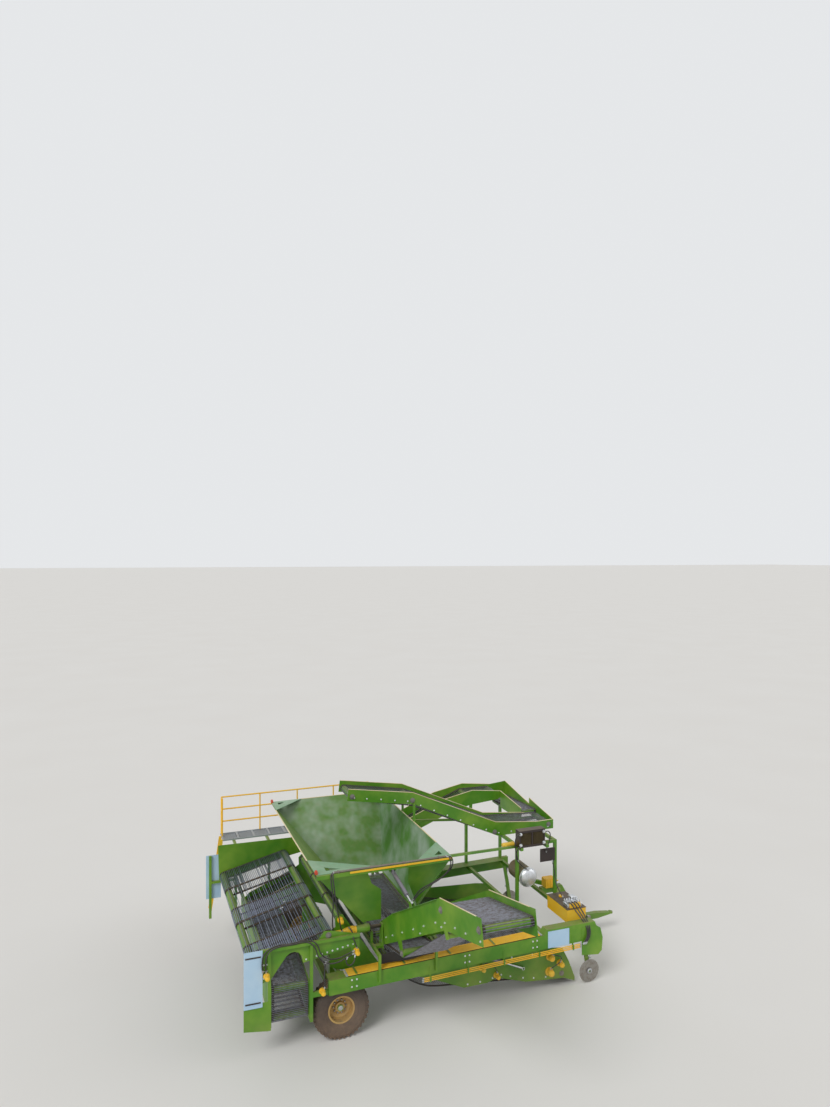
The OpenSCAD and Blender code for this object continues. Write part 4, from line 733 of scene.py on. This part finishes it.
# Oil pipes along the right beam: seamless steel pipes sprayed yellow, eight flat on the ledge
# and three on the beam's side, under green straps, with hose fittings at both ends.
pipe_pitch, lower_slope, lower_y = 0.042, 0.0192, -2.629
# Rear end of the upper row of pipes
rear_x, rear_z = 0.12, 1.5545
upper_rows = [-2.573 + pipe_pitch * k for k in range(8)]
upper_pipes = [pipe(at(rear_x - 0.03 * (k % 3), y, rear_z), at(5.22 + 0.02 * (k % 3), y, 1.6458), 0.025)
               for k, y in enumerate(upper_rows)]
fit("upper_pipes", upper_pipes, yellow_enamel, "frame", "pipes_upper")
# A dark sheet lies flat under the upper row
pipe_dark_sheet = bar(at(rear_x, -2.424, 1.5355), at(5.22, -2.424, 1.6268), 0.33, 0.004)
fit("upper_pipe_dark_sheet", [pipe_dark_sheet], belt_rubber, "frame")
upper_straps = [(x, rear_z + beam_slope * (x - rear_x) + 0.0195) for x in (0.32, 1.52, 2.72, 3.92, 5.1)]
fit("upper_pipe_straps", [bar(at(x, -2.595, z), at(x, -2.255, z), 0.05, 0.006) for x, z in upper_straps],
    green_enamel, "frame")
lower_pipes = [pipe(at(2, lower_y, 1.08 + pipe_pitch * k), at(6.4, lower_y, 1.1645 + pipe_pitch * k), 0.027)
               for k in range(3)]
fit("lower_pipes", lower_pipes, yellow_enamel, "frame", "pipes_lower")
lower_straps = [(x, lower_slope * (x - 2)) for x in (2.15, 3.15, 4.15, 5.15, 6.15)]
strap_plates = [slab(at(x, -2.652, 1.05 + rise), at(x + 0.04, -2.648, 1.19 + rise), 0.001)
                for x, rise in lower_straps]
strap_plates += [slab(at(x, -2.612, 1.05 + rise), at(x + 0.04, -2.6, 1.4 + rise), 0.001)
                 for x, rise in lower_straps]
fit("lower_pipe_straps", strap_plates, green_enamel, "frame")
pipe_ends = [(x, y, z, s) for y in upper_rows for x, z, s in ((0.09, 1.554, -1), (5.25, 1.646, 1))]
pipe_ends += [(x, lower_y, z + pipe_pitch * k, s)
              for k in range(3) for x, z, s in ((1.98, 1.08, -1), (6.4, 1.1645, 1))]
fitting_section = [(0, 0), (0, 0.019), (0.025, 0.019), (0.025, 0.014), (0.045, 0.014), (0.05, 0.01),
                   (0.05, 0)]
fit("pipe_fittings", [turned(at(x - 0.02 * s, y, z), at(x + s, y, z), fitting_section, steps=6)
                      for x, y, z, s in pipe_ends], zinc_plate, "frame")

# Valve bank on the oil tank: six valve bodies of cast aluminium in a row, each with two
# solenoids, on the tank's dark lid. Bare castings are a light grey with a few stains.
cast_aluminium = bare_metal("cast_aluminium", "steel_plain", "#dfe2e6", "#9a948c", 0.35, stain=0.35)
fit("tank_lid", [slab(at(6.25, -2.21, 1.965), at(6.84, -1.14, 1.975), 0.003)], dark_enamel, "frame")
valve_pitch = 0.075
valves = [slab(at(6.32 + valve_pitch * k, -2.12, 1.975),
               at(6.385 + valve_pitch * k, -1.86, 2.06 + 0.01 * (k % 2)), 0.008) for k in range(6)]
solenoid_section = [(0, 0), (0, 0.024), (0.07, 0.024), (0.075, 0.018), (0.09, 0.018), (0.092, 0.01),
                    (0.092, 0)]
valves += [turned(at(6.352 + valve_pitch * k, y, 2.05), at(6.352 + valve_pitch * k, y, 3),
                  solenoid_section, steps=12) for k in range(6) for y in (-2.08, -1.9)]
valves += [slab(at(6.62, -1.8, 1.975), at(6.78, -1.62, 2.1), 0.01)]
fit("tank_valves", valves, cast_aluminium, "frame")

# Oil cooler: two stacks of thin pressed fins, brown with dust, in the dark frame, and a bright
# union at each of its four corners.
fins = [slab(at(x, -1.185, 3.44), at(x + 0.005, -1.155, 3.78), 0.001)
        for first in (5.405, 5.785) for x in (first + 0.0215 * k for k in range(16))]
fit("cooler_fins", fins, olive_enamel, "frame")
union_section = [(0, 0), (0, 0.045), (0.02, 0.045), (0.02, 0.032), (0.05, 0.032), (0.058, 0.02), (0.058, 0)]
fit("cooler_unions", [turned(at(x, -1.19, z), at(x, -3, z), union_section, steps=12)
                      for x in (5.4, 6.12) for z in (3.46, 3.76)], cast_aluminium, "frame")

# Air cleaner drum: its lid is a dome spun from aluminium sheet and held by a clamp ring round
# its foot. It is left bare, so it stays bright.
lid_section = [(0, 0), (0, 0.27), (0.02, 0.27), (0.026, 0.255), (0.05, 0.25), (0.085, 0.22), (0.115, 0.16),
               (0.13, 0.09), (0.135, 0.03), (0.136, 0)]
drum_lid = turned(at(5.72, -1.01, 2.48), at(5.72, -3, 2.48), lid_section, steps=40)
fit("drum_lid", [drum_lid], cast_aluminium, "frame")

# Boards: two dark rubber strips hold the right rear board, one near its top and one near its
# foot.
fit("board_strips", [slab(at(-2.27, -2.562, z), at(-1.92, -2.55, z + 0.03), 0.003) for z in (2.33, 1.3)],
    dark_enamel, "frame")

# Walkway grating: flat steel bars stand on edge, 55 mm apart, across the walkway. They are
# galvanised with it.
grating_pitch = 0.055
grating = [slab(at(-2.02 + grating_pitch * k, 3.42, 2.968),
                at(-2.014 + grating_pitch * k, 3.98, 2.999), 0.001) for k in range(84)]
fit("walkway_bars", grating, zinc_coat, "frame")

# Lamp domes: moulded in one piece with a rib round the foot, one near each end of the bunker's
# rear rim.
fit("lamp_domes", [turned(at(-0.69, y, 4.155), at(-0.69, y, 5), [
    (0, 0), (0, 0.04), (0.008, 0.04), (0.012, 0.034), (0.03, 0.03), (0.042, 0.018), (0.046, 0)], steps=20)
    for y in (-2.73, 2.88)], red_lens, "frame")

# Coulter hubs: steel caps, turned and zinc plated, on both faces of each disc round its
# spindle.
hub_section = [(0, 0.03), (0, 0.075), (0.01, 0.075), (0.014, 0.05), (0.02, 0.046), (0.02, 0.03)]
for side, word in ((-1, "right"), (1, "left")):
    hub = at(6.85, side * 2.33, 0.32)
    hub_caps = [turned(hub + Vector((0, s * 0.018, 0)), hub + Vector((0, s, 0)), hub_section)
                for s in (-1, 1)]
    fit("coulter_hub_" + word, hub_caps, zinc_plate, "coulter_" + word)

# Air reservoir beside the drum: a rolled steel bottle in yellow enamel with a pressed bright
# end, on a bracket from the tower.
bottle = turned(at(4.98, -0.91, 3.42), at(6, -0.91, 3.42), [
    (0, 0), (0, 0.05), (0.02, 0.062), (0.34, 0.062), (0.36, 0.05), (0.36, 0)])
fit("reservoir", [bottle], yellow_enamel, "frame")
bottle_end = turned(at(5.34, -0.91, 3.42), at(6, -0.91, 3.42), [
    (0, 0), (0, 0.056), (0.04, 0.056), (0.06, 0.04), (0.064, 0)])
bracket = bar(at(4.96, -0.91, 3.352), at(5.44, -0.91, 3.352), 0.09, 0.012)
fit("reservoir_end", [bottle_end, bracket], cast_aluminium, "frame")

# Front drives: three yellow hydraulic motors low on the digger's right plate, with their hoses.
# The last hose joins the two motors of the digger's web.
front_drives = []
for x, z, radius in ((5.72, 0.84, 0.07), (6.02, 0.62, 0.06), (5.7, 0.45, 0.075)):
    front_drives += motor(at(x, -digger_face, z), rightwards, radius)
fit("front_motors", front_drives, yellow_enamel, "digger")
hoses("front_motor_hoses", [
    [(5.72, -2.28, 0.93), (5.7, -2.3, 1.02), (5.6, -2.3, 1.06), (5.45, -2.26, 1.0), (5.35, -2.21, 0.95)],
    [(6.02, -2.28, 0.7), (6.0, -2.32, 0.82), (5.86, -2.34, 0.9), (5.75, -2.3, 0.92)],
    [(5.7, -2.28, 0.54), (5.78, -2.33, 0.62), (5.9, -2.34, 0.68), (6, -2.3, 0.7)],
    [(3.74, -2.28, 0.985), (3.8, -2.32, 1.05), (3.95, -2.33, 1.0), (4.1, -2.3, 0.85), (4.15, -2.28, 0.725)]],
      0.022, "digger")

# Coulter rams: short cylinders from the inner face of each side beam down to the disc arm. A
# pin in the beam holds the barrel, and another in the arm holds the chromed rod.
ram_section = [(0, 0), (0, 0.02), (0.02, 0.03), (0.36, 0.03), (0.38, 0.02), (0.38, 0)]
for side, word in ((-1, "right"), (1, "left")):
    top, foot = at(6.84, side * 2.44, 1.36), at(6.8, side * 2.44, 0.72)
    top_pin = turned(at(6.84, side * 2.4, 1.36), at(6.84, side * 2.5, 1.36), [
        (0, 0), (0, 0.018), (0.1, 0.018), (0.1, 0)])
    fit("coulter_ram_" + word, [turned(top, foot, ram_section), top_pin], barrel_steel, "frame")
    ram_rod = turned(top.lerp(foot, 0.55), foot, [(0, 0), (0, 0.014), (0.28, 0.014), (0.28, 0)])
    rod_eye = slab(foot + Vector((-0.03, -0.025, -0.03)), foot + Vector((0.03, 0.025, 0.03)), 0.008)
    foot_pin = turned(at(6.8, side * 2.25, 0.72), at(6.8, side * 2.48, 0.72), [
        (0, 0), (0, 0.016), (0.23, 0.016), (0.23, 0)])
    fit("coulter_ram_rod_" + word, [ram_rod, rod_eye, foot_pin], chrome_rod, "frame")

# Gearbox: an iron casting in yellow enamel, with three stiffening ribs across it and a ring of
# eight zinc-plated bolts on its front cover.
gear_ribs = [slab(at(x, -0.138, 1.66), at(x + 0.015, 0.138, 1.906), 0.004) for x in (6.86, 6.95, 7.04)]
fit("gearbox_ribs", gear_ribs, yellow_enamel, "frame")
cover_bolts = [at(7.135, 0.1 * cos(a), 1.775 + 0.1 * sin(a)) for a in (pi * k / 4 for k in range(8))]
bolts("gearbox_bolts", cover_bolts, forwards, "frame")

# Lift conveyor: the top edges of both side plates carry the same painted highlight, a pale
# line as on the other conveyors, and bolts run along the left plate.
lift_face = 3.012
lift_edge = [(-1.33, 1.502), (4.5, 3.832), (5.5, 4.022), (6.49, 3.902)]
lift_bars = edging([at(x, 2.194, z) for x, z in lift_edge]) + edging([at(x, 3.006, z) for x, z in lift_edge])
fit("lift_edges", lift_bars, lit_edge_highlight, "frame")
lift_bolts = [at(-1.1 + 0.35 * k, lift_face, 1.33 + 0.1374 * k) for k in range(17)]
bolts("lift_bolts", lift_bolts, leftwards, "frame")

# Rubber skirt: a worn sheet of stiff belting, 8 mm thick, hangs from the bunker's portal below
# the elevator's foot. It closes the gap between the portal's legs.
skirt_x, skirt_y, skirt_z = 0.89, -2.5, 1.63
skirt_wide, skirt_high = 1.42, 0.24
deselect()
bpy.ops.mesh.primitive_grid_add(x_subdivisions=24, y_subdivisions=8, size=1, location=(0, 0, 0))
skirt = bpy.context.object
for corner in skirt.data.vertices:
    u, v = corner.co.x + 0.5, corner.co.y + 0.5
    hang = 0.03 * sin(9 * u) * (1 - v)
    foot_rise = beam_slope * u * (1 - v)
    corner.co = at(skirt_x + skirt_wide * u, skirt_y + hang, skirt_z + skirt_high * v + foot_rise)
skin = skirt.modifiers.new("thickness", "SOLIDIFY")
skin.thickness = 0.008
skin.offset = 0
bpy.ops.object.modifier_apply(modifier="thickness")
bpy.ops.object.shade_smooth_by_angle(angle=radians(40))
fit("rubber_skirt", [skirt], belt_rubber, "frame")

# Bearings: cast flange bearings in grey on the outer faces of the plates, where a roller's end
# shows, with a stepped cap.
bearing_iron = enamel("grey_cast_iron", "steel_plain", "#6d6c6b", "#86827c", roughness=0.5, dusty=0.6)
bearing_section = [(0, 0), (0, 0.07), (0.014, 0.07), (0.018, 0.045), (0.04, 0.04), (0.045, 0.025), (0.045, 0)]


def bearings(name, spots, out, body):
    """Flange bearings on a plate, pointing the way of out."""
    flange = turned(Vector((0, 0, 0)), out, bearing_section, steps=16)
    fit(name, copies(flange, [Matrix.Translation(spot) for spot in spots]), bearing_iron, body)


fill_shafts = [at(x, fill_face, z) for x, z in ((6.9, 3.52), (2.64, 4.68), (0.92, 4.96), (5.15, 3.5))]
bearings("fill_bearings", fill_shafts, rightwards, "frame")
lift_shafts = [at(x, lift_face, z) for x, z in ((6.35, 3.76), (5.4, 3.79), (-1.35, 1.25))]
bearings("lift_bearings", lift_shafts, leftwards, "frame")
bearings("deck_bearings", [at(-0.33, panel_face, 2.53)], rightwards, "frame")
bearings("digger_bearings", [at(6.08, -digger_face, 0.33)], rightwards, "digger")
elevator_shafts = [elevator_place @ Vector((u, 0, v))
                   for u, v in ((0.14, -0.33), (-4.22, -0.05), (-5.976, -0.547), (-1.25, -0.69))]
for name, face, out in (("elevator_bearings", elevator_rear, backwards),
                        ("elevator_bearings_front", elevator_front, forwards)):
    spots = [Vector((axle_x + face, shaft.y, shaft.z)) for shaft in elevator_shafts]
    bearings(name, spots, out, "elevator")
